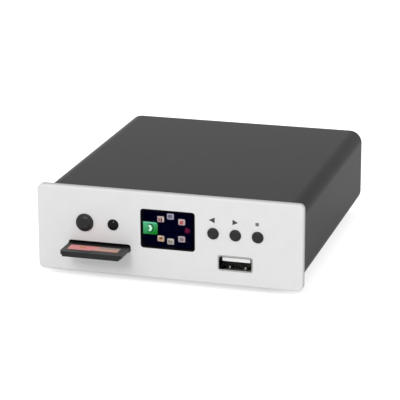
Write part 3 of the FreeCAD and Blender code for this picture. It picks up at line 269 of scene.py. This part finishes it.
def socket_sheet():
    """Nickel-plated sheet, bright on its lips, and painted dark inside the data socket as shade."""
    finish = Finish("socket_metal", (0.62, 0.62, 0.61), roughness=0.25, metallic=1.0)
    # inner is painted shade: the dark colour inside the socket, where little light reaches.
    inner = (0.035, 0.035, 0.037)
    lip_height, lip_depth, tongue_depth = 0.4 * MM, 1.8 * MM, 1.4 * MM
    left_lip, right_lip = 0.2 * MM, 0.4 * MM
    beyond = MM
    soft = 0.05 * MM
    body = finish.mottled(1.2 * MM, darkest=0.93, lightest=1.03)
    low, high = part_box("usb_shell")
    above_lip = finish.band("Z", low.z + lip_height, high.z + beyond, soft)
    behind_lip = finish.band("Y", low.y + lip_depth, high.y + beyond, soft)
    below_tongue = finish.band("Z", low.z - beyond, high.z - tongue_depth, soft)
    across = finish.band("X", low.x + left_lip, high.x - right_lip, soft)
    # Painted shade inside the socket: behind or above its lips and below the tongue.
    inside = finish.product(across, finish.product(below_tongue, finish.larger(above_lip, behind_lip)))
    finish.wire(finish.mix(inside, body, inner), "Base Color")
    finish.grain(0.08 * MM, smoothest=0.22, roughest=0.34, stretch=ROLLED)
    return finish.material


def moulded(name, colour, roughness, height=0.004 * MM, **constants):
    """Moulded plastic: a fine spark texture, a little mottling, and paler edges."""
    finish = Finish(name, colour, roughness, **constants)
    finish.paint(1.8 * MM, darkest=0.94, lightest=1.06, edge=0.1 * MM, edge_share=1.25)
    finish.grain(0.09 * MM, smoothest=roughness * 0.92, roughest=roughness * 1.1, height=height)
    return finish.material


def pressed_plastic():
    """Dark button plastic, matt on its faces; polished by fingers along its edges, which are also painted
    paler as a highlight.
    """
    finish = Finish("button_plastic", (0.0122, 0.0122, 0.0126), roughness=0.40, Specular_IOR_Level=0.34)
    worn_highlight_share, worn_roughness = 1.5, 0.8
    body = finish.mottled(1.8 * MM, darkest=0.94, lightest=1.06)
    worn = finish.edges(0.12 * MM)
    # Paler edges: finger wear and a painted highlight along the rims.
    finish.wire(finish.mix(worn, body, shade(finish.colour, worn_highlight_share)), "Base Color")
    spark = finish.noise(0.09 * MM)
    matt = finish.spread(spark, 0.36, 0.44)
    polish = finish.step(worn, start=0.0, end=1.0, low=1.0, high=worn_roughness)
    finish.wire(finish.product(matt, polish), "Roughness")
    finish.bump(spark, 0.004 * MM)
    return finish.material


def circuit_board():
    """Green solder mask over fine upright and level tracks."""
    green = (0.012, 0.075, 0.030)
    finish = Finish("circuit_board", green, roughness=0.35)
    tracks = finish.nodes.new("ShaderNodeTexBrick")
    tracks.inputs["Scale"].default_value = 260.0
    tracks.inputs["Mortar Size"].default_value = 0.035
    tracks.inputs["Color1"].default_value = (*green, 1.0)
    tracks.inputs["Color2"].default_value = (*shade(green, 0.8), 1.0)
    tracks.inputs["Mortar"].default_value = (*shade(green, 2.2), 1.0)
    finish.links.new(finish.place, tracks.inputs["Vector"])
    finish.wire(tracks.outputs["Color"], "Base Color")
    finish.grain(0.5 * MM, smoothest=0.28, roughest=0.42)
    finish.bump(tracks.outputs["Fac"], 0.02 * MM)
    return finish.material


def clear_window():
    """Coated clear sheet that hardly mirrors what is in front of it."""
    finish = Finish("window_clear", (0.96, 0.97, 1.0), roughness=0.02, IOR=1.06, Transmission_Weight=1.0)
    finish.grain(4 * MM, smoothest=0.01, roughest=0.03)
    return finish.material


def display_glass():
    """Dark glass of the panel, with a faint blue glow that is strongest in the middle."""
    finish = Finish("display_glass", (0.0004, 0.0004, 0.0006), roughness=0.4, Specular_IOR_Level=0.0)
    finish.wire(finish.mottled(3 * MM, darkest=1.0, lightest=1.6), "Base Color")
    glow, dimmest, brightest = srgb(0, 0, 34), 0.3, 2.3
    reach = 9 * MM
    centre = (panel_low + panel_high) / 2
    middle_band = finish.product(finish.band("X", centre.x, centre.x, reach),
                                 finish.band("Z", centre.z, centre.z, reach))
    finish.wire(finish.mix(middle_band, shade(glow, dimmest), shade(glow, brightest)), "Emission Color")
    finish.set("Emission Strength", 1.0)
    return finish.material


def light_source(name):
    """A black finish that only glows."""
    finish = Finish(name, (0.0, 0.0, 0.0), roughness=0.5, Specular_IOR_Level=0.0)
    finish.set("Emission Strength", 1.0)
    return finish


def lit(name, low_colour, high_colour, centre, reach, lean=0.0):
    """A lit picture element: its glow runs from one colour up to the other, or askew by lean."""
    finish = light_source(name)
    way = Vector((-math.sin(lean), 0.0, math.cos(lean)))
    along = finish.nodes.new("ShaderNodeVectorMath")
    along.operation = "DOT_PRODUCT"
    along.inputs[1].default_value = way
    finish.links.new(finish.place, along.inputs[0])
    start = centre.dot(way)
    rise = finish.step(along.outputs["Value"], start - reach, start + reach)
    finish.wire(finish.mix(rise, low_colour, high_colour), "Emission Color")
    return finish.material


def faded_spot(name, centre, reach, colour, border):
    """A lit spot that fades from its colour to the border's."""
    finish = light_source(name)
    away = finish.nodes.new("ShaderNodeVectorMath")
    away.operation = "DISTANCE"
    finish.links.new(finish.place, away.inputs[0])
    away.inputs[1].default_value = centre
    fading = finish.step(away.outputs["Value"], reach * 0.1, reach)
    finish.wire(finish.mix(fading, colour, border), "Emission Color")
    return finish.material


# Each field: start and end as shares of the label's width, front and back in mm from its front
# end, and the ink.
LABEL_FIELDS = [
    (0.00, 0.60, 0.2, 5.2, srgb(226, 142, 142)),
    (0.56, 0.96, 2.9, 5.2, srgb(164, 146, 134)),
    (0.50, 0.96, 0.9, 3.0, srgb(210, 156, 140)),
    (0.20, 0.32, 2.6, 4.2, srgb(200, 136, 92)),
    (0.45, 0.98, 0.0, 0.9, srgb(128, 76, 68)),
]


def card_label():
    """Printed label: plain colour fields at its front end, black behind them."""
    black = (0.006, 0.006, 0.007)
    finish = Finish("card_label_paper", black, roughness=0.45, Specular_IOR_Level=0.3)
    low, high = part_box("memory_card_label")
    width = high.x - low.x
    soft = 0.15 * MM
    colour = black
    for start, end, front, back, ink_colour in LABEL_FIELDS:
        area = finish.product(finish.band("X", low.x + width * start, low.x + width * end, soft),
                              finish.band("Y", low.y + front * MM, low.y + back * MM, soft))
        colour = finish.mix(area, colour, ink_colour)
    finish.wire(colour, "Base Color")
    finish.grain(0.2 * MM, smoothest=0.4, roughest=0.5, height=0.002 * MM)
    return finish.material


# Heights of the spark texture on glossy mouldings and inks.
SMOOTH_MOULD = 0.001 * MM
FLAT_MOULD = 0.0

FINISHES = {
    "anodised_aluminium": anodised_aluminium(),
    "cover_paint": cover_paint(),
    "tray_paint": tray_paint(),
    "rubber": rubber(),
    "zinc_steel": plated_metal("zinc_steel", (0.55, 0.55, 0.56), roughness=0.35),
    "brass": plated_metal("brass", (0.62, 0.48, 0.22), roughness=0.3),
    "circuit_board": circuit_board(),
    "window_clear": clear_window(),
    "display_glass": display_glass(),
    "white_plastic": moulded("white_plastic", (0.94, 0.94, 0.93), roughness=0.4),
    "flat_cable": moulded("flat_cable", (0.55, 0.28, 0.06), roughness=0.3),
    "black_gloss": moulded("black_gloss", (0.004, 0.004, 0.005), 0.12, FLAT_MOULD, Specular_IOR_Level=0.13),
    "button_plastic": pressed_plastic(),
    "black_plastic": moulded("black_plastic", (0.012, 0.012, 0.012), roughness=0.45),
    "socket_metal": socket_sheet(),
    "contact_gold": plated_metal("contact_gold", (0.83, 0.62, 0.26), roughness=0.22),
    "rca_plating": plated_metal("rca_plating", (0.72, 0.71, 0.68), roughness=0.16),
    "white_gloss": moulded("white_gloss", (0.75, 0.75, 0.73), 0.22, SMOOTH_MOULD),
    "red_gloss": moulded("red_gloss", (0.42, 0.012, 0.012), 0.22, SMOOTH_MOULD),
    "orange_gloss": moulded("orange_gloss", (0.62, 0.16, 0.015), 0.22, SMOOTH_MOULD),
    "card_plastic": moulded("card_plastic", (0.011, 0.013, 0.012), roughness=0.42, Specular_IOR_Level=0.3),
    "card_label_paper": card_label(),
    "can_aluminium": plated_metal("can_aluminium", (0.62, 0.62, 0.64), roughness=0.3),
}


def dress_node(node, material):
    """Give a carried-over node its finish."""
    slots = frame["nodes"][node].material_slots
    for slot in slots:
        slot.material = material
    if not slots:
        frame["nodes"][node].data.materials.append(material)


for part in frame["record"]["subparts"]:
    dress_node(part["node"], FINISHES[part["material_slot"]])


# Shape helpers

SMOOTH_BELOW = math.radians(28)


def add_piece(name, shape, material, body):
    """Turn a finished bmesh into a piece that rides on the body."""
    bmesh.ops.recalc_face_normals(shape, faces=shape.faces)
    for face in shape.faces:
        face.smooth = True
    mesh = bpy.data.meshes.new(name)
    shape.to_mesh(mesh)
    shape.free()
    mesh.set_sharp_from_angle(angle=SMOOTH_BELOW)
    mesh.materials.append(material)
    piece = bpy.data.objects.new(name, mesh)
    bpy.context.collection.objects.link(piece)
    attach(piece, body)
    return piece


def rounded_outline(width, height, corner, steps=6):
    points = []
    for quarter in range(4):
        across = 1 if quarter in (0, 3) else -1
        upward = 1 if quarter in (0, 1) else -1
        for step in range(steps + 1):
            angle = math.pi / 2 * (quarter + step / steps)
            points.append((across * (width / 2 - corner) + corner * math.cos(angle),
                           upward * (height / 2 - corner) + corner * math.sin(angle)))
    return points


def triangle_outline(width, height, pointing):
    """A triangle that points right (1) or left (-1)."""
    half = width / 2 * pointing
    return [(half, 0.0), (-half, height / 2), (-half, -height / 2)]


def chevron_outline(width, height, stroke):
    """An open arrowhead that points right."""
    left, right = -width / 2, width / 2
    return [(left, height / 2), (left + stroke, height / 2), (right, 0.0),
            (left + stroke, -height / 2), (left, -height / 2), (right - stroke, 0.0)]


def slanted_outline(width, height, lean):
    """A bar whose top lies further right than its bottom by lean."""
    half, tip = width / 2, height / 2
    return [(-half - lean / 2, -tip), (half - lean / 2, -tip), (half + lean / 2, tip),
            (-half + lean / 2, tip)]


def join_rings(shape, rings, closed_ends=False):
    """Add the faces between each ring of points and the next one, and those that close the ends."""
    for first, second in zip(rings, rings[1:]):
        for index in range(len(first)):
            following = (index + 1) % len(first)
            shape.faces.new((first[index], second[index], second[following], first[following]))
    if closed_ends:
        shape.faces.new(rings[0])
        shape.faces.new(rings[-1])


def add_plate(shape, outline, centre, depth):
    """Add a flat plate seen from the front: outline points are (x, z) about centre."""
    rings = [[shape.verts.new((centre.x + x, y, centre.z + z)) for x, z in outline]
             for y in (centre.y, centre.y + depth)]
    join_rings(shape, rings, closed_ends=True)


def flat_piece(name, outline, centre, depth, material):
    shape = bmesh.new()
    add_plate(shape, outline, centre, depth)
    return add_piece(name, shape, material, ROOT)


def add_turned(shape, centre, profile, steps):
    """Turn a closed profile of (radius, depth) points about the Y axis through centre."""
    rings = []
    for radius, depth in profile:
        if radius == 0:
            rings.append([shape.verts.new((centre.x, centre.y + depth, centre.z))])
            continue
        rings.append([shape.verts.new((centre.x + radius * math.cos(2 * math.pi * turn / steps),
                                       centre.y + depth,
                                       centre.z + radius * math.sin(2 * math.pi * turn / steps)))
                      for turn in range(steps)])
    for first, second in zip(rings, rings[1:]):
        for turn in range(steps):
            following = (turn + 1) % steps
            corners = [first[turn % len(first)], second[turn % len(second)],
                       second[following % len(second)], first[following % len(first)]]
            shape.faces.new(list(dict.fromkeys(corners)))


# Button caps and the remote-control lens

COLLAR_STEP = 0.7 * MM
COLLAR_CORNER = 0.2 * MM
RIM_ROUNDING = 0.16 * MM
RIM_BEND = 0.05 * MM
CREASE = 0.1
SLOPE_BENDS = (0.0, 0.12, 0.88, 1.0)
CAP_STEPS = 72


def make_cap(name, profile, material, body):
    """Replace a turned cap: the profile runs from its face's middle to its outer edge."""
    low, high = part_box(name)
    centre = middle(name)
    side = high.x - low.x
    radius = side / 2 - COLLAR_STEP
    front = Vector((centre.x, low.y, centre.z))
    stem = plate_high.y - low.y
    shape = bmesh.new()
    outline = [(radius - inset if inset is not None else 0, depth) for inset, depth in profile]
    add_turned(shape, front, outline + [(radius, stem), (0, stem)], CAP_STEPS)
    collar_place = Vector((centre.x, plate_high.y, centre.z))
    add_plate(shape, rounded_outline(side, side, COLLAR_CORNER, steps=3), collar_place,
              high.y - plate_high.y)
    piece = add_piece(name + "_cap", shape, material, body)
    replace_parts(piece, name)


def crowned_profile(ring, slope, rise):
    """A flat disc, a slope down to a lower ring round it, and a rounded outer edge."""
    points = [(None, 0.0), (ring + slope * (1 + CREASE), 0.0)]
    for share in SLOPE_BENDS:
        points.append((ring + slope * (1 - share), rise * share))
    points += [(ring * (1 - CREASE), rise), (RIM_ROUNDING, rise)]
    return points + [(RIM_BEND, rise + RIM_BEND), (0.0, rise + RIM_ROUNDING)]


make_cap("power_button", crowned_profile(ring=0.6 * MM, slope=0.65 * MM, rise=0.34 * MM),
         FINISHES["button_plastic"], "power_press_body")
for button in ("back", "play", "stop"):
    make_cap(f"{button}_button", crowned_profile(ring=0.3 * MM, slope=0.4 * MM, rise=0.12 * MM),
             FINISHES["button_plastic"], f"{button}_press_body")
make_cap("remote_lens", crowned_profile(ring=0.5 * MM, slope=0.5 * MM, rise=0.26 * MM),
         FINISHES["black_gloss"], ROOT)


# Printed symbols

PRINT_DEPTH = 0.02 * MM
INK_FRONT = plate_low.y - PRINT_DEPTH
SYMBOL_ROW = plate_low.z + 24.7 * MM
ink = moulded("plate_ink", (0.045, 0.045, 0.047), 0.5, SMOOTH_MOULD)
pale_ink = moulded("plate_ink_pale", (0.16, 0.16, 0.16), 0.5, SMOOTH_MOULD)


def print_symbols():
    """Transport symbols over the three buttons, each with its shift across and up in mm."""
    signs = {
        "back": (-0.5, 0.2, triangle_outline(2.3 * MM, 2.2 * MM, -1), ink),
        "play": (0.0, 0.0, triangle_outline(2.15 * MM, 2.15 * MM, 1), ink),
        "stop": (-0.2, 0.0, rounded_outline(1.3 * MM, 1.3 * MM, 0.1 * MM), pale_ink),
    }
    for name, (across, rise, outline, colour) in signs.items():
        place = Vector((middle(f"{name}_button").x + across * MM, INK_FRONT, SYMBOL_ROW + rise * MM))
        flat_piece(f"{name}_symbol", outline, place, PRINT_DEPTH, colour)


print_symbols()


# Display

window_low, window_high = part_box("display_window")
window_middle = middle("display_window")
NOSE_WIDTH, NOSE_HEIGHT, NOSE_CORNER = 20.6 * MM, 14.7 * MM, 0.9 * MM
BORDER = 0.6 * MM
SHEET_CORNER, FLANGE_CORNER, PRINT_CORNER = 0.5 * MM, 0.3 * MM, 1.2 * MM
FLANGE_DEPTH = 1.3 * MM
LENS_GAP = 0.01 * MM
SCREEN_ROOM = 0.10 * MM
BORDER_INK = moulded("border_black", (0.0008, 0.0008, 0.0010), 0.3, SMOOTH_MOULD,
                     Specular_IOR_Level=0.03)


def ring_piece(name, loops, material):
    """A closed ring through loops of (x, z) points about the window's middle, each at its depth."""
    shape = bmesh.new()
    rings = [[shape.verts.new((window_middle.x + x, depth, window_middle.z + z)) for x, z in outline]
             for outline, depth in loops]
    join_rings(shape, rings + rings[:1])
    return add_piece(name, shape, material, ROOT)


def make_bezel():
    """Black border that lies flush round the clear sheet and carries it behind the plate."""
    flange_start = plate_low.y + FLANGE_DEPTH
    inner = rounded_outline(NOSE_WIDTH - BORDER * 2, NOSE_HEIGHT - BORDER * 2, SHEET_CORNER)
    nose = rounded_outline(NOSE_WIDTH, NOSE_HEIGHT, NOSE_CORNER)
    flange = rounded_outline(window_high.x - window_low.x, window_high.z - window_low.z, FLANGE_CORNER)
    loops = [(inner, window_low.y), (nose, window_low.y), (nose, flange_start), (flange, flange_start),
             (flange, window_high.y), (inner, window_high.y)]
    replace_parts(ring_piece("display_bezel", loops, BORDER_INK), "display_window")


def print_border():
    """Black border printed on the plate round its opening; its extra width at the left and below is painted
    shade of the opening's walls.
    """
    # left and below are wider: painted shade where the opening's walls lie in shade.
    left, right, above, below = 0.43 * MM, 0.13 * MM, 0.15 * MM, 0.38 * MM
    inner = rounded_outline(NOSE_WIDTH, NOSE_HEIGHT, NOSE_CORNER)
    outer = [(x + (right - left) / 2, z + (above - below) / 2) for x, z in rounded_outline(
        NOSE_WIDTH + left + right, NOSE_HEIGHT + above + below, PRINT_CORNER)]
    loops = [(inner, INK_FRONT), (outer, INK_FRONT), (outer, plate_low.y), (inner, plate_low.y)]
    ring_piece("display_border", loops, BORDER_INK)


def make_window():
    """Clear sheet inside the border, with room behind it for what the screen shows."""
    frame_width = (BORDER + LENS_GAP) * 2
    outline = rounded_outline(NOSE_WIDTH - frame_width, NOSE_HEIGHT - frame_width, SHEET_CORNER)
    place = Vector((window_middle.x, window_low.y, window_middle.z))
    sheet = flat_piece("display_sheet", outline, place, window_high.y - SCREEN_ROOM - window_low.y,
                       FINISHES["window_clear"])
    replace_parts(sheet, "display_window")


SCREEN_DEPTH = 0.015 * MM
SCREEN_STEP = 0.02 * MM


def screen_shape(name, x, z, outline, low_colour, high_colour, layer=1, lean=0.0):
    """A lit shape at (x, z) millimetres from the middle of the window."""
    place = Vector((window_middle.x + x * MM, panel_low.y - layer * SCREEN_STEP, window_middle.z + z * MM))
    reach = max(point[1] for point in outline)
    material = lit(f"lit_{name}", low_colour, high_colour, place, reach, lean)
    return flat_piece(f"screen_{name}", outline, place, SCREEN_DEPTH, material)


# Each tile: its middle in mm, and the colours at its bottom and top.
TILES = {
    "upper_left": (-3.3, 3.4, srgb(168, 150, 144), srgb(186, 170, 164)),
    "top": (0.5, 4.7, srgb(148, 146, 160), srgb(176, 172, 186)),
    "upper_right": (4.85, 2.9, srgb(176, 156, 154), srgb(196, 182, 180)),
    "lower_right": (4.8, -3.8, srgb(166, 152, 154), srgb(188, 178, 180)),
    "bottom": (0.5, -5.05, srgb(164, 156, 148), srgb(184, 176, 168)),
    "lower_left": (-3.3, -4.2, srgb(176, 154, 130), srgb(190, 172, 150)),
}

# Each mark on a tile: its middle, then its width, height and corner, all in mm, and its colour.
MARKS = [
    ("upper_left_patch", -3.85, 3.2, (0.9, 1.1, 0.2), srgb(158, 92, 104)),
    ("upper_left_bar", -3.0, 3.1, (0.5, 1.4, 0.1), srgb(74, 42, 48)),
    ("upper_left_side", -2.4, 3.3, (0.5, 1.5, 0.1), srgb(206, 190, 180)),
    ("top_frame", 0.35, 4.8, (1.6, 1.3, 0.2), srgb(104, 100, 118)),
    ("top_middle", 0.65, 4.55, (0.9, 0.6, 0.2), srgb(152, 148, 162)),
    ("upper_right_patch", 4.75, 2.75, (1.4, 1.3, 0.2), srgb(186, 104, 106)),
    ("lower_right_frame", 4.75, -3.8, (1.5, 1.3, 0.2), srgb(118, 104, 112)),
    ("lower_right_middle", 4.55, -3.95, (0.8, 0.6, 0.1), srgb(164, 148, 152)),
    ("lower_right_spot", 5.75, -3.7, (0.4, 0.6, 0.15), srgb(196, 128, 140)),
    ("bottom_left", -0.1, -5.0, (0.5, 1.3, 0.1), srgb(112, 100, 92)),
    ("bottom_bar", 0.75, -5.2, (0.35, 1.2, 0.1), srgb(96, 84, 78)),
    ("bottom_top", 0.6, -4.25, (1.5, 0.3, 0.1), srgb(214, 208, 200)),
    ("lower_left_middle", -3.3, -4.1, (1.3, 0.9, 0.3), srgb(132, 84, 44)),
    ("lower_left_low", -2.9, -4.8, (1.2, 0.4, 0.15), srgb(206, 168, 120)),
    ("lower_left_top", -3.8, -3.35, (1.1, 0.4, 0.15), srgb(226, 212, 198)),
]


def draw_screen():
    """A ring of plain pictogram tiles, the chosen one larger and green."""
    screen_shape("chosen", -7.4, -0.4, rounded_outline(5.7 * MM, 4.8 * MM, 0.7 * MM),
                 srgb(20, 128, 34), srgb(84, 178, 128), lean=0.5)
    screen_shape("chosen_top", -7.5, 1.5, rounded_outline(4.9 * MM, 0.6 * MM, 0.29 * MM),
                 srgb(70, 166, 124), srgb(124, 206, 174), layer=2)
    screen_shape("chosen_shadow", -7.2, -0.45, chevron_outline(2.6 * MM, 3.3 * MM, 1.9 * MM),
                 srgb(10, 84, 28), srgb(24, 100, 58), layer=2)
    screen_shape("chosen_mark", -7.4, -0.45, chevron_outline(1.7 * MM, 2.4 * MM, 1.05 * MM),
                 srgb(170, 246, 200), srgb(222, 255, 236), layer=3)
    tile = rounded_outline(2.65 * MM, 2.3 * MM, 0.4 * MM)
    for name, (x, z, low_colour, high_colour) in TILES.items():
        screen_shape(name, x, z, tile, low_colour, high_colour)
    for name, x, z, (width, height, corner), colour in MARKS:
        screen_shape(name, x, z, rounded_outline(width * MM, height * MM, corner * MM),
                     shade(colour, 0.9), shade(colour, 1.1), layer=2)
    screen_shape("upper_right_slash", 4.85, 2.8, slanted_outline(0.45 * MM, 1.5 * MM, 1.2 * MM),
                 srgb(150, 36, 44), srgb(168, 56, 58), layer=3)
    spot = Vector((window_middle.x + 7.0 * MM, panel_low.y - SCREEN_STEP, window_middle.z - 0.25 * MM))
    spot_width, spot_reach = 2.8 * MM, 1.35 * MM
    fading = faded_spot("lit_dim", spot, spot_reach, srgb(112, 26, 60), srgb(3, 0, 22))
    flat_piece("screen_dim", rounded_outline(spot_width, spot_width, spot_reach), spot, SCREEN_DEPTH,
               fading)


make_bezel()
print_border()
make_window()
draw_screen()


# Data socket's spring fingers

TIP_WIDTH, FINGER_SPACING = 0.6 * MM, 6.0 * MM
TIP_SHIFT = 0.5 * MM
TIP_DEPTH, TIP_FLOOR = 2.4 * MM, 0.3 * MM
TIP_REACH, TIP_RISE, TIP_SHEET = 0.9 * MM, 1.2 * MM, 0.25 * MM
TIP_STEPS = 12


def make_finger_tips():
    """Round bent tips of the two lower spring fingers, which catch the light; their metal is painted dark
    as shade inside the socket.
    """
    low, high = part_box("usb_shell")
    depth, floor = low.y + TIP_DEPTH, low.z + TIP_FLOOR
    # Dark metal: painted shade inside the socket, which also dims the tips' glints.
    shaded_tip_metal = plated_metal("finger_tip_shaded", (0.13, 0.13, 0.12), roughness=0.36)
    for number, side in enumerate((-1, 1)):
        left = (low.x + high.x) / 2 + TIP_SHIFT + side * FINGER_SPACING / 2 - TIP_WIDTH / 2
        right = left + TIP_WIDTH
        shape = bmesh.new()
        rings = []
        for step in range(TIP_STEPS + 1):
            angle = math.pi * step / TIP_STEPS
            outer = (depth - TIP_REACH * math.cos(angle), floor + TIP_RISE * math.sin(angle))
            inner = (depth - (TIP_REACH - TIP_SHEET) * math.cos(angle),
                     floor + (TIP_RISE - TIP_SHEET) * math.sin(angle))
            rings.append([shape.verts.new((x, y, z)) for x, (y, z) in (
                (left, outer), (right, outer), (right, inner), (left, inner))])
        join_rings(shape, rings, closed_ends=True)
        add_piece(f"usb_finger_tip_{number}", shape, shaded_tip_metal, ROOT)


make_finger_tips()


# Floor, light and camera

def seen_directly(nodes, links):
    """1 for rays from the camera, and for mirrored and refracted ones."""
    path = nodes.new("ShaderNodeLightPath")
    total = path.outputs["Is Camera Ray"]
    for kind in ("Is Glossy Ray", "Is Transmission Ray"):
        total = computed(nodes, links, "MAXIMUM", total, path.outputs[kind])
    return total


FLOOR_COLOUR = (0.85, 0.85, 0.85, 1.0)
FLOOR_GLOW = 0.18
FLOOR_GLOW_TO_CAMERA = 0.46
FLOOR_REACH = 3.0


def soft_floor():
    """Pale floor that the camera and mirror-like surfaces see as white, with soft shadows."""
    material = bpy.data.materials.new("floor")
    material.use_nodes = True
    nodes, links = material.node_tree.nodes, material.node_tree.links
    nodes.clear()
    output = nodes.new("ShaderNodeOutputMaterial")
    diffuse = nodes.new("ShaderNodeBsdfDiffuse")
    diffuse.inputs["Color"].default_value = FLOOR_COLOUR
    glow = nodes.new("ShaderNodeEmission")
    both = nodes.new("ShaderNodeAddShader")
    mirrored = computed(nodes, links, "MULTIPLY", seen_directly(nodes, links), FLOOR_GLOW)
    path = nodes.new("ShaderNodeLightPath")
    strength = computed(nodes, links, "MULTIPLY_ADD", path.outputs["Is Camera Ray"],
                        FLOOR_GLOW_TO_CAMERA, mirrored)
    links.new(strength, glow.inputs["Strength"])
    links.new(diffuse.outputs[0], both.inputs[0])
    links.new(glow.outputs[0], both.inputs[1])
    links.new(both.outputs[0], output.inputs["Surface"])
    return material


def make_floor():
    mesh = bpy.data.meshes.new("floor")
    corners = [(x * FLOOR_REACH, y * FLOOR_REACH, 0) for x, y in ((-1, -1), (1, -1), (1, 1), (-1, 1))]
    mesh.from_pydata(corners, [], [(0, 1, 2, 3)])
    mesh.materials.append(soft_floor())
    floor = bpy.data.objects.new("floor", mesh)
    bpy.context.collection.objects.link(floor)


def make_world(level):
    """An even white room: level lights the object, and what it mirrors is plain white."""
    world = bpy.data.worlds.new("studio")
    world.use_nodes = True
    nodes, links = world.node_tree.nodes, world.node_tree.links
    background = nodes["Background"]
    background.inputs["Color"].default_value = (*WHITE, 1.0)
    strength = nodes.new("ShaderNodeMapRange")
    strength.inputs["To Min"].default_value = level
    strength.inputs["To Max"].default_value = 1.0
    links.new(seen_directly(nodes, links), strength.inputs["Value"])
    links.new(strength.outputs["Result"], background.inputs["Strength"])
    bpy.context.scene.world = world


OBJECT_MIDDLE = (0.0, 0.0, 0.02)


def make_lamp(name, place, size, power):
    """A square soft light at place that faces the object's middle."""
    lamp = bpy.data.lights.new(name, "AREA")
    lamp.shape = "SQUARE"
    lamp.size = size
    lamp.energy = power
    holder = bpy.data.objects.new(name, lamp)
    bpy.context.collection.objects.link(holder)
    holder.location = place
    holder.rotation_euler = (Vector(OBJECT_MIDDLE) - Vector(place)).to_track_quat("-Z", "Y").to_euler()


CAMERA_PLACE = Vector((0.201074, -0.699414, 0.246682))
CAMERA_TURN = 0.2843283
CAMERA_TILT = 0.3049706
CAMERA_ROLL = -0.0041174
CAMERA_LENS = 172.619
SENSOR_WIDTH = 36.0


def make_camera():
    """The camera as solved from the edges of the plate and the cover in the photograph."""
    turn, tilt, roll = CAMERA_TURN, CAMERA_TILT, CAMERA_ROLL
    back = Vector((math.sin(turn) * math.cos(tilt), -math.cos(turn) * math.cos(tilt), math.sin(tilt)))
    level_right = Vector((math.cos(turn), math.sin(turn), 0.0))
    level_up = back.cross(level_right)
    right = math.cos(roll) * level_right + math.sin(roll) * level_up
    up = math.cos(roll) * level_up - math.sin(roll) * level_right
    camera_data = bpy.data.cameras.new("camera")
    camera_data.lens = CAMERA_LENS
    camera_data.sensor_width = SENSOR_WIDTH
    camera = bpy.data.objects.new("camera", camera_data)
    turn_matrix = Matrix((right, up, back)).transposed().to_4x4()
    camera.matrix_world = Matrix.Translation(CAMERA_PLACE) @ turn_matrix
    bpy.context.collection.objects.link(camera)
    bpy.context.scene.camera = camera


make_floor()
make_world(level=0.66)
make_lamp("key", (-0.1, -1.0, 0.65), size=0.3, power=4.1)
make_lamp("side", (0.7, 0.1, 0.45), size=0.25, power=0.8)
make_camera()
bpy.context.scene.view_settings.view_transform = "Standard"
